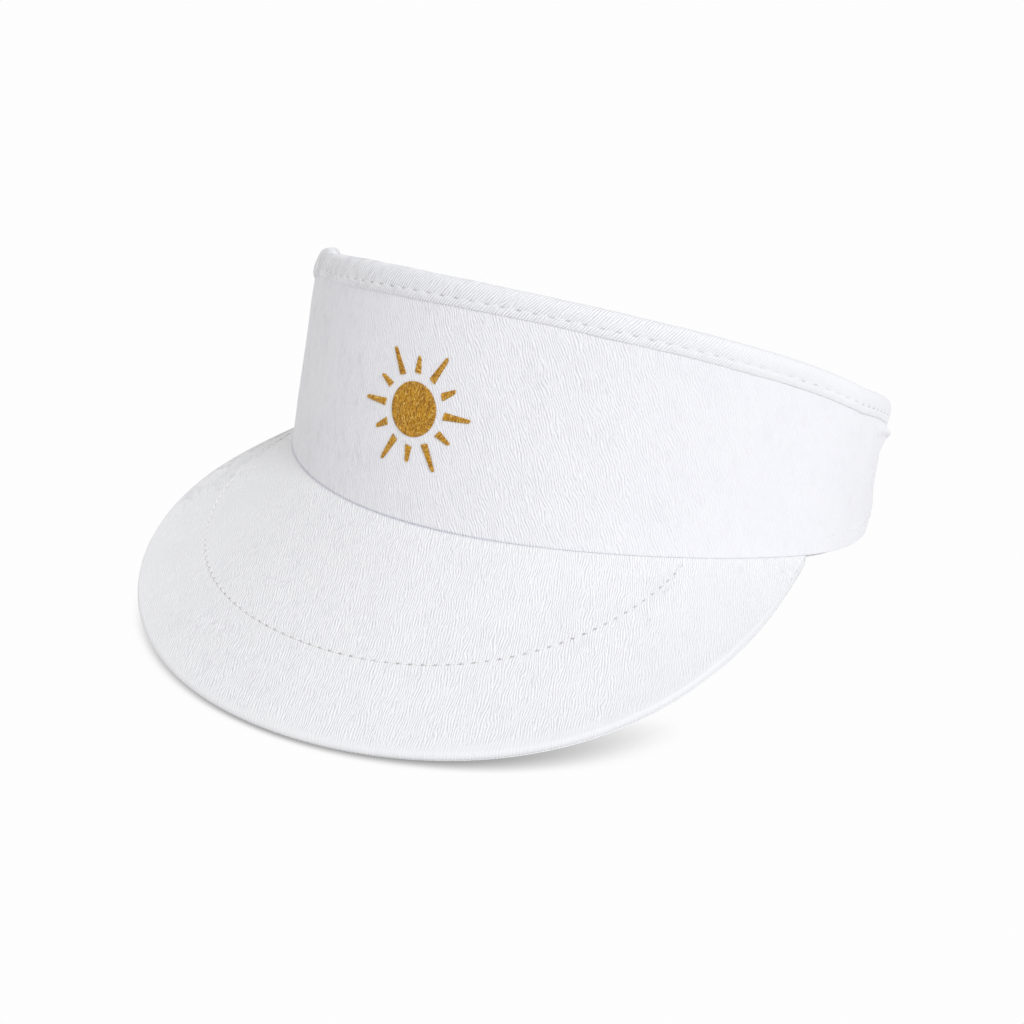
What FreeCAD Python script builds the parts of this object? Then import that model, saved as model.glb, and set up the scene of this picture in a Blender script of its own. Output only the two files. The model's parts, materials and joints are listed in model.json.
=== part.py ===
import FreeCAD, Part
import math
import os

# Golf-style sun visor: an open-crown fabric band with a drooping fabric-covered
# brim and a hook-and-loop strap closure at the back.
#
# Pieces are built in the "worn" frame: Z up the head, -Y to the front, +X the
# wearer's left.  Its origin is the centre of the rear half circle of the band,
# at the level of the band's rear bottom edge.  Theta is counted from the front
# (0) towards +X.  At the end every piece is tipped about X and moved so that
# the visor stands on z = 0, resting on the brim's lower rim and the rear strap,
# with the origin under the middle of its box.
# Lengths are in millimetres.  Constants holding angles are in degrees, while
# arguments called theta are in radians.

Vector = FreeCAD.Vector
ORIGIN = Vector(0, 0, 0)
UP = Vector(0, 0, 1)

# ---------------------------------------------------------------- dimensions
# band outline and height
REAR_R = 96.0                   # outside radius of the rear half
FRONT_DEPTH = 85.6              # outside depth of the front half
FRONT_NARROWING = 0.04
FRONT_SQUARENESS = 0.16
BAND_H_FRONT = 65.1             # height at centre front
BAND_H_REAR = 24.5              # height the top edge would reach at centre back
BAND_H_SIDE = 3.0               # extra height at the sides
BAND_DIP = -4.9                 # bottom edge at centre front
TAPER = 0.01                    # part by which the band narrows per TAPER_H of height
TAPER_H = 65.0
BAND_END = 127.0                # half angle of the C-shaped band
CONE_SLOPE = REAR_R * TAPER / TAPER_H

# band layers: depths inside the band's outer face, negative being outside it
SHELL_IN = 0.60
BACKING_OUT, BACKING_IN = 0.68, 0.86
CORE_OUT, CORE_IN = 0.94, 2.00          # interlining
CORE_END = 95.0                         # its half angle
CORE_UP, CORE_DOWN = 1.2, 0.7           # its margins inside the fabric edges
LINING_OUT, LINING_IN = 2.10, 2.60
LAYER_DROP = 1.55                       # fabric layers stop this far below the nominal top

SWEAT_OUT, SWEAT_IN = 2.70, 4.50        # sweatband
SWEAT_H, SWEAT_H_SWING = 22.0, 8.5      # height at the sides, and its gain at the front
SWEAT_DROP = 1.5                        # how far it hangs below the band
SWEAT_ROUND = 0.55                      # bulge of its two edges
SWEAT_END_GAP = 2.5                     # angle it stops short of the band's end

# binding over the top edge
BIND_TOP = 0.05                         # its top, below the nominal top
BIND_LEG_OUT, BIND_LEG_IN = 7.5, 7.4    # lower edges of its legs, below the nominal top
BIND_T, BIND_GAP = 0.56, 0.06
BIND_OUT = -BIND_GAP - BIND_T
BIND_IN = LINING_IN + BIND_GAP + BIND_T
BIND_ROUND = [(0.0, 1.5), (0.28, 0.62), (0.95, 0.12)]   # (in from the face, below the top)
BIND_CREST = 1.9                        # crest, in from the outer face
BIND_LIP = 0.10                         # clearance over the layers' top edge
BIND_OVERHANG = 0.35                    # angle past the band's end

# turned edges and bar tacks at the band's two ends
FOLD_BACK, FOLD_PAST = 1.15, 0.05       # angles either side of BAND_END
FOLD_GAP, FOLD_FACE = 0.06, 0.50        # near and far face, off the band
FOLD_MARGIN = 0.15
TACK_L, TACK_T, TACK_H = 2.6, 0.42, 1.0
TACK_BACK = 0.9                         # angle before BAND_END
TACK_ON_BIND, TACK_ON_FOLD = BIND_OUT - 0.12, -0.62
TACK_BIND_UP, TACK_LOW_Z = 1.4, 1.6

# brim
BRIM_HALF = 76.9                        # half angle of the brim seam
BRIM_L = 71.6                           # depth at centre front
BRIM_DROOP_MID, BRIM_DROOP_END = 43.1, 22.2     # angles below the band's bottom plane
BRIM_POWER, BRIM_ROUNDING = 4.0, 0.40   # outline exponents
BRIM_FORWARD = 0.80                     # how far it runs forwards rather than outwards
BRIM_T = 2.95                           # total thickness
COVER_T, COVER_GAP = 0.62, 0.07
BRIM_LIMIT = 0.99999                    # end stations, as part of the half seam
BRIM_ROOT_GAP = 0.10
MAX_INSET = 0.75                        # largest inset from the rim, as part of the reach
TOP_CHAMFER, UNDER_CHAMFER = 0.45, 0.35

# contour stitch row on the brim's top face
ROW_L = 45.4                            # distance from the seam at its crest
ROW_CREST = -0.06                       # crest and half widths, as parts of the half seam
ROW_RIGHT, ROW_LEFT = 0.79, 0.715
ROW_POWER, ROW_ROUNDING = 3.2, 0.55
ROW_LIMIT = 0.9999
ROW_MARGIN = 3                          # free length at each end

# stitches; each pair is (pitch, length)
STITCH_R, STITCH_GAP = 0.21, 0.08
BRIM_STITCH_R, BRIM_STITCH_GAP = 0.17, 0.10
BIND_STITCH = (4.6, 3.9)
BRIM_STITCH = (3.4, 2.6)
HEM_STITCH = (3.1, 2.2)
SWEAT_STITCH = (3.4, 2.4)
TAPE_STITCH = (3.2, 2.2)
ANCHOR_STITCH = (2.9, 2.2)
BIND_STITCH_DOWN = 5.15                 # row below the nominal top
HEM_UP, HEM_START, HEM_END_GAP = 5.0, 82, 2.5
SWEAT_ROW_UP, SWEAT_ROW_DOWN = 0.6, 1.6     # above the band's bottom, below the sweatband's top

# sun motif
DISC_R = 7.6
RAY_IN, RAY_OUT = 10.6, 18.6
RAYS = 12
RAY_SHORTER = 3.6                       # every other ray is this much shorter
RAY_TIP = 1.2                           # length of the pointed end
RAY_ROOT_W, RAY_TIP_W = 1.15, 0.75      # half widths
MOTIF_HEIGHT = 0.455                    # centre, as part of the front height
DISC_OUT, RAY_FACE, MOTIF_BACK = -0.75, -0.60, -0.10
MOTIF_HALF_ANGLE, MOTIF_HALF_H = 24, 24
BACKING_HALF_ANGLE, BACKING_HALF_H = 15.5, 22
CUTTER_START, CUTTER_L = -FRONT_DEPTH - 20, 60

# back closure: heights above the rear bottom edge, radii at z = 0
STRAP_Z0, STRAP_Z1 = 0.80, 25.0
LOOP_Z0 = STRAP_Z0 + 0.5
STRAP_T = 1.20
STRAP_R = 94.00                         # inner radius inside the pocket
TAPE_T, TAPE_GAP = 0.85, 0.07
TAPE_MARGIN = 1.6
POCKET_END = 114.0                      # how deep the fixed strap reaches
LOOP_END = 198.0
LOOP_TAPE_START = 143.0
LOOP_TAPE_END_GAP = 1.2
HOOK_ROOT_END = 360 - POCKET_END
JOG_START, JOG_END = 217.0, 207.0
PEEL_ANGLE, PEEL_GAP = 204.0, 0.06
HOOK_END = 153.0
HOOK_TAPE_START = HOOK_END + 1.5
HOOK_TAPE_END = LOOP_END - 3.0
LIFT = 3.30                             # how far the hook strap stands outside the loop strap
HOOK_R = STRAP_R + LIFT
TAPE_ROW_IN = TAPE_MARGIN + 0.9         # stitch rows, in from the strap's edges
TAPE_COLUMN_IN = 3.6                    # ends of the stitch columns, in from the edges
OUTER_ROW_LIFT = STITCH_R + 0.16
INNER_ROW_LIFT = -(STITCH_R + 0.10)
COLUMN_LIFT = STITCH_R + 0.12
ANCHOR_ANGLE = BAND_END - 3.6
ANCHOR_Z = (6.4, 23.8)

# care label
LABEL_ANGLES = (100, 112)
LABEL_OUT, LABEL_IN = SWEAT_IN + 0.10, SWEAT_IN + 0.35
LABEL_Z = (3.2, 14.5)

REST_TILT = 13.6
REST_TRIM = 0.30                        # depth of the flats the visor rests on

# numbers of stations along the swept pieces
BAND_STATIONS, BRIM_STATIONS = 61, 81
MOTIF_STATIONS, BACKING_STATIONS = 31, 21
FOLD_STATIONS, LABEL_STATIONS, JOG_STATIONS = 5, 7, 13


# ---------------------------------------------------------- spacing on curves
def lengths_along(points):
    """Running length of the polyline at each of its points."""
    lengths = [0.0]
    for start, end in zip(points, points[1:]):
        lengths.append(lengths[-1] + (end - start).Length)
    return lengths


def locate(lengths, distance):
    """Index of the segment that holds distance, and the fraction along it."""
    low, high = 0, len(lengths) - 1
    while high - low > 1:
        middle = (low + high) // 2
        if lengths[middle] <= distance:
            low = middle
        else:
            high = middle
    return low, (distance - lengths[low]) / (lengths[high] - lengths[low])


def end_dense(steps, limit):
    """Values from -limit to limit that crowd together towards both ends."""
    values = []
    for i in range(steps + 1):
        v = -1 + 2.0 * i / steps
        values.append(math.copysign(1 - (1 - abs(v)) ** 2.5, v) * limit)
    return values


def centres(start, end, pitch):
    """Middles of as many equal steps of at least pitch as fit."""
    count = int((end - start) / pitch)
    return [start + (i + 0.5) * (end - start) / count for i in range(count)]


# ------------------------------------------------------------- band geometry
def ring(theta):
    """Outside of the band's bottom outline."""
    s, c = math.sin(theta), math.cos(theta)
    if c > 0:
        return (REAR_R * s * (1 - FRONT_NARROWING * c * c),
                -FRONT_DEPTH * c * (1 - FRONT_SQUARENESS * s * s))
    return REAR_R * s, -REAR_R * c


def ring_normal(theta):
    """Outward unit normal of the outline."""
    step = 1e-4
    x1, y1 = ring(theta + step)
    x0, y0 = ring(theta - step)
    dx, dy = x1 - x0, y1 - y0
    length = math.hypot(dx, dy)
    return dy / length, -dx / length


def z_bottom(theta):
    c = math.cos(theta)
    return BAND_DIP * c * c if c > 0 else 0.0


def z_top(theta):
    """Nominal top edge."""
    c, s = math.cos(theta), math.sin(theta)
    return BAND_H_FRONT + (BAND_H_REAR - BAND_H_FRONT) * (1 - c) / 2 + BAND_H_SIDE * s * s


def layer_top(theta):
    return z_top(theta) - LAYER_DROP


def sweat_top(theta):
    return z_bottom(theta) + SWEAT_H + SWEAT_H_SWING * math.cos(theta)


def on_band(theta, depth, z):
    """Point at angle theta and height z, depth inside the band's outer face."""
    x, y = ring(theta)
    nx, ny = ring_normal(theta)
    scale = 1 - TAPER * (z - z_bottom(theta)) / TAPER_H
    return Vector(x * scale - depth * nx, y * scale - depth * ny, z)


# arc-length table round the outline, from -180 to 180 degrees
ARC_STEP = 0.1
ARC_THETAS = [math.radians(-180 + i * ARC_STEP) for i in range(3601)]
ARC_LENGTHS = lengths_along([Vector(*ring(theta), 0) for theta in ARC_THETAS])


def arc_of(degrees):
    steps = (degrees + 180) / ARC_STEP
    i = int(steps)
    return ARC_LENGTHS[i] + (ARC_LENGTHS[i + 1] - ARC_LENGTHS[i]) * (steps - i)


def theta_of(arc):
    i, part = locate(ARC_LENGTHS, arc)
    return ARC_THETAS[i] + (ARC_THETAS[i + 1] - ARC_THETAS[i]) * part


def even_thetas(start, end, count):
    """Angles evenly spaced along the band between two angles in degrees."""
    first, last = arc_of(start), arc_of(end)
    return [theta_of(first + (last - first) * i / (count - 1)) for i in range(count)]


# --------------------------------------------------------------- solid makers
def polygon_face(points):
    return Part.Face(Part.makePolygon(points + [points[0]]))


def spline(points):
    curve = Part.BSplineCurve()
    last = len(points) - 1
    curve.interpolate(Points=points, Parameters=[i / last for i in range(last + 1)])
    return curve.toShape()


def sweep(stations, profile):
    """Closed solid: each profile corner is a smooth curve over the stations, the
    sides are ruled between neighbouring curves, the two ends are flat."""
    columns = [[corner(t) for t in stations] for corner in profile]
    edges = [spline(column) for column in columns]
    faces = []
    for i in range(len(edges)):
        faces.append(Part.makeRuledSurface(edges[i], edges[(i + 1) % len(edges)]))
    for end in (0, -1):
        faces.append(polygon_face([column[end] for column in columns]))
    shell = Part.makeShell(faces)
    shell.sewShape()
    solid = Part.makeSolid(Part.Shell(shell.Faces))
    if solid.Volume < 0:
        solid.reverse()
    return solid


def band_layer(start, end, outer, inner, low, high, stations=BAND_STATIONS):
    """Layer between two depths; low and high give its edges' heights."""
    return sweep(even_thetas(start, end, stations), [
        lambda t: on_band(t, outer, low(t)),
        lambda t: on_band(t, outer, high(t)),
        lambda t: on_band(t, inner, high(t)),
        lambda t: on_band(t, inner, low(t))])


def thread(start, end, radius=STITCH_R):
    return Part.makeCylinder(radius, (end - start).Length, start, end - start)


def band_row(start, end, depth, height, stitch, inward=False):
    """Stitches lying on the outer or, if inward, the inner side of the band."""
    pitch, length = stitch
    lift = -(STITCH_R + STITCH_GAP) if inward else STITCH_R + STITCH_GAP
    stitches = []
    for arc in centres(arc_of(start), arc_of(end), pitch):
        nx, ny = ring_normal(theta_of(arc))
        offset = Vector(nx, ny, 0) * lift
        ends = [on_band(t, depth, height(t)) + offset
                for t in (theta_of(arc - length / 2), theta_of(arc + length / 2))]
        stitches.append(thread(*ends))
    return stitches


# ---------------------------------------------------------------- band pieces
def band_shell():
    return band_layer(-BAND_END, BAND_END, 0.0, SHELL_IN, z_bottom, layer_top)


def band_interlining():
    return band_layer(-CORE_END, CORE_END, CORE_OUT, CORE_IN,
                      lambda t: z_bottom(t) + CORE_UP, lambda t: layer_top(t) - CORE_DOWN)


def band_lining():
    return band_layer(-BAND_END, BAND_END, LINING_OUT, LINING_IN, z_bottom, layer_top)


def sweatband():
    """Padded strip with a ridge along its top and bottom edges."""
    end = BAND_END - SWEAT_END_GAP
    middle = (SWEAT_OUT + SWEAT_IN) / 2
    return sweep(even_thetas(-end, end, BAND_STATIONS), [
        lambda t: on_band(t, SWEAT_OUT, z_bottom(t) - SWEAT_DROP),
        lambda t: on_band(t, SWEAT_OUT, sweat_top(t)),
        lambda t: on_band(t, middle, sweat_top(t) + SWEAT_ROUND),
        lambda t: on_band(t, SWEAT_IN, sweat_top(t)),
        lambda t: on_band(t, SWEAT_IN, z_bottom(t) - SWEAT_DROP),
        lambda t: on_band(t, middle, z_bottom(t) - SWEAT_DROP - SWEAT_ROUND)])


def top_binding():
    """Folded bias binding: an upside-down U with a rounded back."""
    inside_top = -LAYER_DROP + BIND_LIP
    profile = [(BIND_OUT, -BIND_LEG_OUT)]
    profile += [(BIND_OUT + d, -BIND_TOP - down) for d, down in BIND_ROUND]
    profile += [(BIND_OUT + BIND_CREST, -BIND_TOP)]
    profile += [(BIND_IN - d, -BIND_TOP - down) for d, down in reversed(BIND_ROUND)]
    profile += [(BIND_IN, -BIND_LEG_IN),
                (BIND_IN - BIND_T, -BIND_LEG_IN),
                (BIND_IN - BIND_T, inside_top),
                (BIND_OUT + BIND_T, inside_top),
                (BIND_OUT + BIND_T, -BIND_LEG_OUT)]
    end = BAND_END + BIND_OVERHANG
    return sweep(even_thetas(-end, end, BAND_STATIONS),
                 [lambda t, d=d, z=z: on_band(t, d, z_top(t) + z) for d, z in profile])


def binding_stitching():
    end = BAND_END - 1

    def height(t):
        return z_top(t) - BIND_STITCH_DOWN
    return Part.Compound(band_row(-end, end, BIND_OUT, height, BIND_STITCH)
                         + band_row(-end, end, BIND_IN, height, BIND_STITCH, inward=True))


def hem_stitching():
    end = BAND_END - HEM_END_GAP
    return Part.Compound(band_row(HEM_START, end, 0.0, lambda t: HEM_UP, HEM_STITCH)
                         + band_row(-end, -HEM_START, 0.0, lambda t: HEM_UP, HEM_STITCH))


def sweatband_stitching():
    end = BAND_END - 4
    stitches = []
    for height in (lambda t: z_bottom(t) + SWEAT_ROW_UP, lambda t: sweat_top(t) - SWEAT_ROW_DOWN):
        stitches += band_row(-end, end, SWEAT_IN, height, SWEAT_STITCH, inward=True)
    return Part.Compound(stitches)


def end_fold(side):
    """Turned edge closing one end of the band, as an outer and an inner strip."""
    start, end = sorted((side * (BAND_END - FOLD_BACK), side * (BAND_END + FOLD_PAST)))
    strips = []
    for outer, inner in ((-FOLD_FACE, -FOLD_GAP), (LINING_IN + FOLD_GAP, LINING_IN + FOLD_FACE)):
        strips.append(band_layer(start, end, outer, inner, lambda t: FOLD_MARGIN,
                                 lambda t: z_top(t) - BIND_LEG_OUT - FOLD_MARGIN,
                                 FOLD_STATIONS))
    return Part.Compound(strips)


def bar_tack(side, z, depth):
    """Small bar along the band, standing outwards from the given depth."""
    theta = math.radians(side * (BAND_END - TACK_BACK))
    nx, ny = ring_normal(theta)
    # columns: along the band, outwards, up
    axes = FreeCAD.Matrix(-ny, nx, 0, 0,
                          nx, ny, 0, 0,
                          0, 0, 1, 0,
                          0, 0, 0, 1)
    bar = Part.makeBox(TACK_L, TACK_T, TACK_H, Vector(-TACK_L / 2, 0, -TACK_H / 2))
    bar = bar.transformGeometry(axes)
    bar.translate(on_band(theta, depth, z))
    return bar


def bar_tacks():
    bind_z = z_top(math.radians(BAND_END)) - BIND_LEG_OUT + TACK_BIND_UP
    return Part.Compound([bar_tack(side, z, depth)
                          for z, depth in ((bind_z, TACK_ON_BIND), (TACK_LOW_Z, TACK_ON_FOLD))
                          for side in (1, -1)])


def care_label():
    """Blank label inside, over the sweatband."""
    return band_layer(*LABEL_ANGLES, LABEL_OUT, LABEL_IN,
                      lambda t: LABEL_Z[0], lambda t: LABEL_Z[1], LABEL_STATIONS)


# ----------------------------------------------------------------------- brim
# t runs along the brim seam: -1 at its -X end, 0 at the front, 1 at its +X end
def brim_frame(t):
    """Seam point, direction along the brim's slope, and its upward normal."""
    theta = t * math.radians(BRIM_HALF)
    nx, ny = ring_normal(theta)
    fx, fy = nx * (1 - BRIM_FORWARD), ny * (1 - BRIM_FORWARD) - BRIM_FORWARD
    length = math.hypot(fx, fy)
    fx, fy = fx / length, fy / length
    droop = math.radians(BRIM_DROOP_MID + (BRIM_DROOP_END - BRIM_DROOP_MID) * t * t)
    x, y = ring(theta)
    root = Vector(x, y, z_bottom(theta) - BRIM_ROOT_GAP)
    along = Vector(fx * math.cos(droop), fy * math.cos(droop), -math.sin(droop))
    normal = Vector(fx * math.sin(droop), fy * math.sin(droop), math.cos(droop))
    return root, along, normal


ROOT = None     # in place of a rim distance: the corner lies at the seam


def on_brim(t, rim_distance, depth):
    """Point rim_distance back from the outer rim, depth below the top face."""
    root, along, normal = brim_frame(t)
    distance = 0.0
    if rim_distance is not ROOT:
        reach = BRIM_L * (1 - abs(t) ** BRIM_POWER) ** BRIM_ROUNDING
        distance = reach - min(rim_distance, MAX_INSET * reach)
    return root + along * distance - normal * depth


def brim_stations():
    """Values of t evenly spaced along the outer rim."""
    samples = end_dense(4000, BRIM_LIMIT)
    lengths = lengths_along([on_brim(t, 0, 0) for t in samples])
    stations = []
    for i in range(BRIM_STATIONS):
        j, part = locate(lengths, lengths[-1] * i / (BRIM_STATIONS - 1))
        stations.append(samples[j] + (samples[j + 1] - samples[j]) * part)
    return stations


def brim_piece(corners):
    """Sweep along the brim of (rim distance, depth) corners."""
    return sweep(brim_stations(), [lambda t, r=r, d=d: on_brim(t, r, d) for r, d in corners])


def brim_top_cover():
    """Top cover, which wraps the rim."""
    wrap_end = BRIM_T - COVER_T - COVER_GAP
    return brim_piece([(ROOT, 0), (TOP_CHAMFER, 0), (0, TOP_CHAMFER), (0, wrap_end),
                       (COVER_T, wrap_end), (COVER_T, COVER_T), (ROOT, COVER_T)])


def brim_board():
    """Stiff board between the covers."""
    inset = COVER_T + COVER_GAP
    return brim_piece([(ROOT, inset), (inset, inset), (inset, BRIM_T - inset),
                       (ROOT, BRIM_T - inset)])


def brim_under_cover():
    return brim_piece([(ROOT, BRIM_T - COVER_T), (0, BRIM_T - COVER_T),
                       (UNDER_CHAMFER, BRIM_T), (ROOT, BRIM_T)])


def brim_row_point(u):
    """Point of the contour stitch row, u from -1 to 1, and the normal there."""
    t = ROW_CREST + (ROW_RIGHT if u < 0 else ROW_LEFT) * u
    root, along, normal = brim_frame(t)
    return root + along * (ROW_L * (1 - abs(u) ** ROW_POWER) ** ROW_ROUNDING), normal


def brim_stitching():
    pitch, length = BRIM_STITCH
    row = [brim_row_point(u) for u in end_dense(800, ROW_LIMIT)]
    lengths = lengths_along([point for point, normal in row])

    def row_at(distance):
        j, part = locate(lengths, distance)
        return row[j][0] + (row[j + 1][0] - row[j][0]) * part, row[j][1]

    stitches = []
    for centre in centres(ROW_MARGIN, lengths[-1] - ROW_MARGIN, pitch):
        start, normal = row_at(centre - length / 2)
        end = row_at(centre + length / 2)[0]
        offset = normal * (BRIM_STITCH_R + BRIM_STITCH_GAP)
        stitches.append(thread(start + offset, end + offset, BRIM_STITCH_R))
    return Part.Compound(stitches)


# ------------------------------------------- embroidered sun motif, at the front
MOTIF_Z = z_bottom(0) + (z_top(0) - z_bottom(0)) * MOTIF_HEIGHT


def motif_slab(outer, inner, half_angle, half_height, stations):
    return band_layer(-half_angle, half_angle, outer, inner,
                      lambda t: MOTIF_Z - half_height, lambda t: MOTIF_Z + half_height,
                      stations)


def motif_face(outer):
    return motif_slab(outer, MOTIF_BACK, MOTIF_HALF_ANGLE, MOTIF_HALF_H, MOTIF_STATIONS)


def motif_disc():
    return motif_face(DISC_OUT).common(Part.makeCylinder(
        DISC_R, CUTTER_L, Vector(0, CUTTER_START, MOTIF_Z), Vector(0, 1, 0)))


def motif_rays():
    """Pointed rays, long and short in turn."""
    slab = motif_face(RAY_FACE)
    rays = []
    for i in range(RAYS):
        angle = 2 * math.pi * i / RAYS
        c, s = math.cos(angle), math.sin(angle)
        tip = RAY_OUT if i % 2 == 0 else RAY_OUT - RAY_SHORTER
        # (distance from the motif's centre, distance across the ray)
        outline = [(RAY_IN, -RAY_ROOT_W), (tip - RAY_TIP, -RAY_TIP_W), (tip, 0.0),
                   (tip - RAY_TIP, RAY_TIP_W), (RAY_IN, RAY_ROOT_W)]
        face = polygon_face([Vector(r * c - w * s, CUTTER_START, MOTIF_Z + r * s + w * c)
                             for r, w in outline])
        rays.append(slab.common(face.extrude(Vector(0, CUTTER_L, 0))).Solids[0])
    return Part.Compound(rays)


def embroidery_backing():
    """Patch behind the shell."""
    return motif_slab(BACKING_OUT, BACKING_IN, BACKING_HALF_ANGLE, BACKING_HALF_H,
                      BACKING_STATIONS)


# --------------------------------------------------------------- back closure
def on_strap(degrees, radius, z):
    """Point on the closure's cone, given its radius at z = 0."""
    theta = math.radians(degrees)
    r = radius - CONE_SLOPE * z
    return Vector(r * math.sin(theta), -r * math.cos(theta), z)


def cone_strip(start, end, radius, thick, z0, z1):
    """Curved strip turned about the closure axis, with the band's own taper."""
    face = polygon_face([Vector(r - CONE_SLOPE * z, 0, z) for r, z in (
        (radius, z0), (radius + thick, z0), (radius + thick, z1), (radius, z1))])
    face = face.rotate(ORIGIN, UP, start - 90.0)
    return face.revolve(ORIGIN, UP, end - start)


def jog_strip():
    """The stretch where the hook strap steps outwards over the loop strap."""
    def corner(extra, z):
        def point(u):
            smooth = u * u * (3 - 2 * u)
            return on_strap(JOG_START + (JOG_END - JOG_START) * u,
                            STRAP_R + LIFT * smooth + extra, z)
        return point
    return sweep([i / (JOG_STATIONS - 1) for i in range(JOG_STATIONS)], [
        corner(0, STRAP_Z0), corner(STRAP_T, STRAP_Z0),
        corner(STRAP_T, STRAP_Z1), corner(0, STRAP_Z1)])


def loop_strap():
    return cone_strip(POCKET_END, LOOP_END, STRAP_R, STRAP_T, LOOP_Z0, STRAP_Z1)


def loop_tape():
    return cone_strip(LOOP_TAPE_START, LOOP_END - LOOP_TAPE_END_GAP,
                      STRAP_R + STRAP_T + TAPE_GAP, TAPE_T,
                      LOOP_Z0 + TAPE_MARGIN, STRAP_Z1 - TAPE_MARGIN)


def hook_strap_root():
    inner = cone_strip(JOG_START, HOOK_ROOT_END, STRAP_R, STRAP_T, STRAP_Z0, STRAP_Z1)
    outer = cone_strip(PEEL_ANGLE + PEEL_GAP, JOG_END, HOOK_R, STRAP_T, STRAP_Z0, STRAP_Z1)
    return inner.fuse(jog_strip()).fuse(outer)


def hook_strap_tab():
    return cone_strip(HOOK_END, PEEL_ANGLE, HOOK_R, STRAP_T, STRAP_Z0, STRAP_Z1)


def hook_tape():
    return cone_strip(HOOK_TAPE_START, HOOK_TAPE_END, HOOK_R - TAPE_GAP - TAPE_T, TAPE_T,
                      STRAP_Z0 + TAPE_MARGIN, STRAP_Z1 - TAPE_MARGIN)


def strap_row(start, end, radius, z, lift):
    """Stitches round the strap at height z."""
    pitch, length = TAPE_STITCH
    half = math.degrees(length / 2 / radius)
    return [thread(on_strap(c - half, radius + lift, z), on_strap(c + half, radius + lift, z))
            for c in centres(start, end, math.degrees(pitch / radius))]


def strap_column(degrees, radius, z0, z1, stitch):
    """Stitches up the strap at one angle."""
    pitch, length = stitch
    radius += COLUMN_LIFT
    return [thread(on_strap(degrees, radius, c - length / 2),
                   on_strap(degrees, radius, c + length / 2))
            for c in centres(z0, z1, pitch)]


def hook_tape_stitching():
    """Rectangle of stitches on the outside of the tab."""
    face = HOOK_R + STRAP_T
    stitches = []
    for z in (STRAP_Z0 + TAPE_ROW_IN, STRAP_Z1 - TAPE_ROW_IN):
        stitches += strap_row(HOOK_END + 2, PEEL_ANGLE - 8, face, z, OUTER_ROW_LIFT)
    for degrees in (HOOK_END + 2.2, PEEL_ANGLE - 7.6):
        stitches += strap_column(degrees, face, STRAP_Z0 + TAPE_COLUMN_IN,
                                 STRAP_Z1 - TAPE_COLUMN_IN, TAPE_STITCH)
    return Part.Compound(stitches)


def loop_tape_stitching():
    """Two rows on the inside of the loop strap."""
    stitches = []
    for z in (LOOP_Z0 + TAPE_ROW_IN, STRAP_Z1 - TAPE_ROW_IN):
        stitches += strap_row(LOOP_TAPE_START + 0.8, LOOP_END - 2, STRAP_R, z, INNER_ROW_LIFT)
    return Part.Compound(stitches)


def strap_anchor_stitching():
    """Column that holds the fixed strap in the left end of the band."""
    return Part.Compound(strap_column(ANCHOR_ANGLE, REAR_R, *ANCHOR_Z, ANCHOR_STITCH))


# ------------------------------------------------------- resting pose, export
def tight_box(shape):
    return shape.optimalBoundingBox(False)


def set_down(pieces):
    """Tip the visor front up, trim what it rests on and centre it on z = 0."""
    for name in pieces:
        pieces[name] = pieces[name].copy()
        pieces[name].rotate(ORIGIN, Vector(1, 0, 0), -REST_TILT)

    floor = REST_TRIM + max(tight_box(pieces[name]).ZMin
                            for name in ("brim_under_cover", "hook_strap_tab"))
    below = Part.makeBox(400, 400, 50, Vector(-200, -250, floor - 50))
    for name in ("brim_under_cover", "brim_top_cover", "hook_strap_tab", "hook_strap_root",
                 "brim_board"):
        if tight_box(pieces[name]).ZMin < floor:
            pieces[name] = pieces[name].cut(below)

    boxes = [tight_box(piece) for piece in pieces.values()]
    x_middle = (min(b.XMin for b in boxes) + max(b.XMax for b in boxes)) / 2
    y_middle = (min(b.YMin for b in boxes) + max(b.YMax for b in boxes)) / 2
    for piece in pieces.values():
        piece.translate(Vector(-x_middle, -y_middle, -floor))


BUILDERS = [
    band_shell, band_interlining, band_lining, sweatband, top_binding,
    binding_stitching, hem_stitching, sweatband_stitching, bar_tacks, care_label,
    brim_top_cover, brim_board, brim_under_cover, brim_stitching,
    motif_disc, motif_rays, embroidery_backing,
    loop_strap, loop_tape, hook_strap_root, hook_strap_tab, hook_tape,
    hook_tape_stitching, loop_tape_stitching, strap_anchor_stitching]

# each piece is named after the function that builds it
visor = {build.__name__: build() for build in BUILDERS}
visor["end_fold_left"] = end_fold(1)
visor["end_fold_right"] = end_fold(-1)
set_down(visor)

os.makedirs("parts", exist_ok=True)
for name, piece in visor.items():
    piece.exportStep("parts/" + name + ".step")
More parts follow.
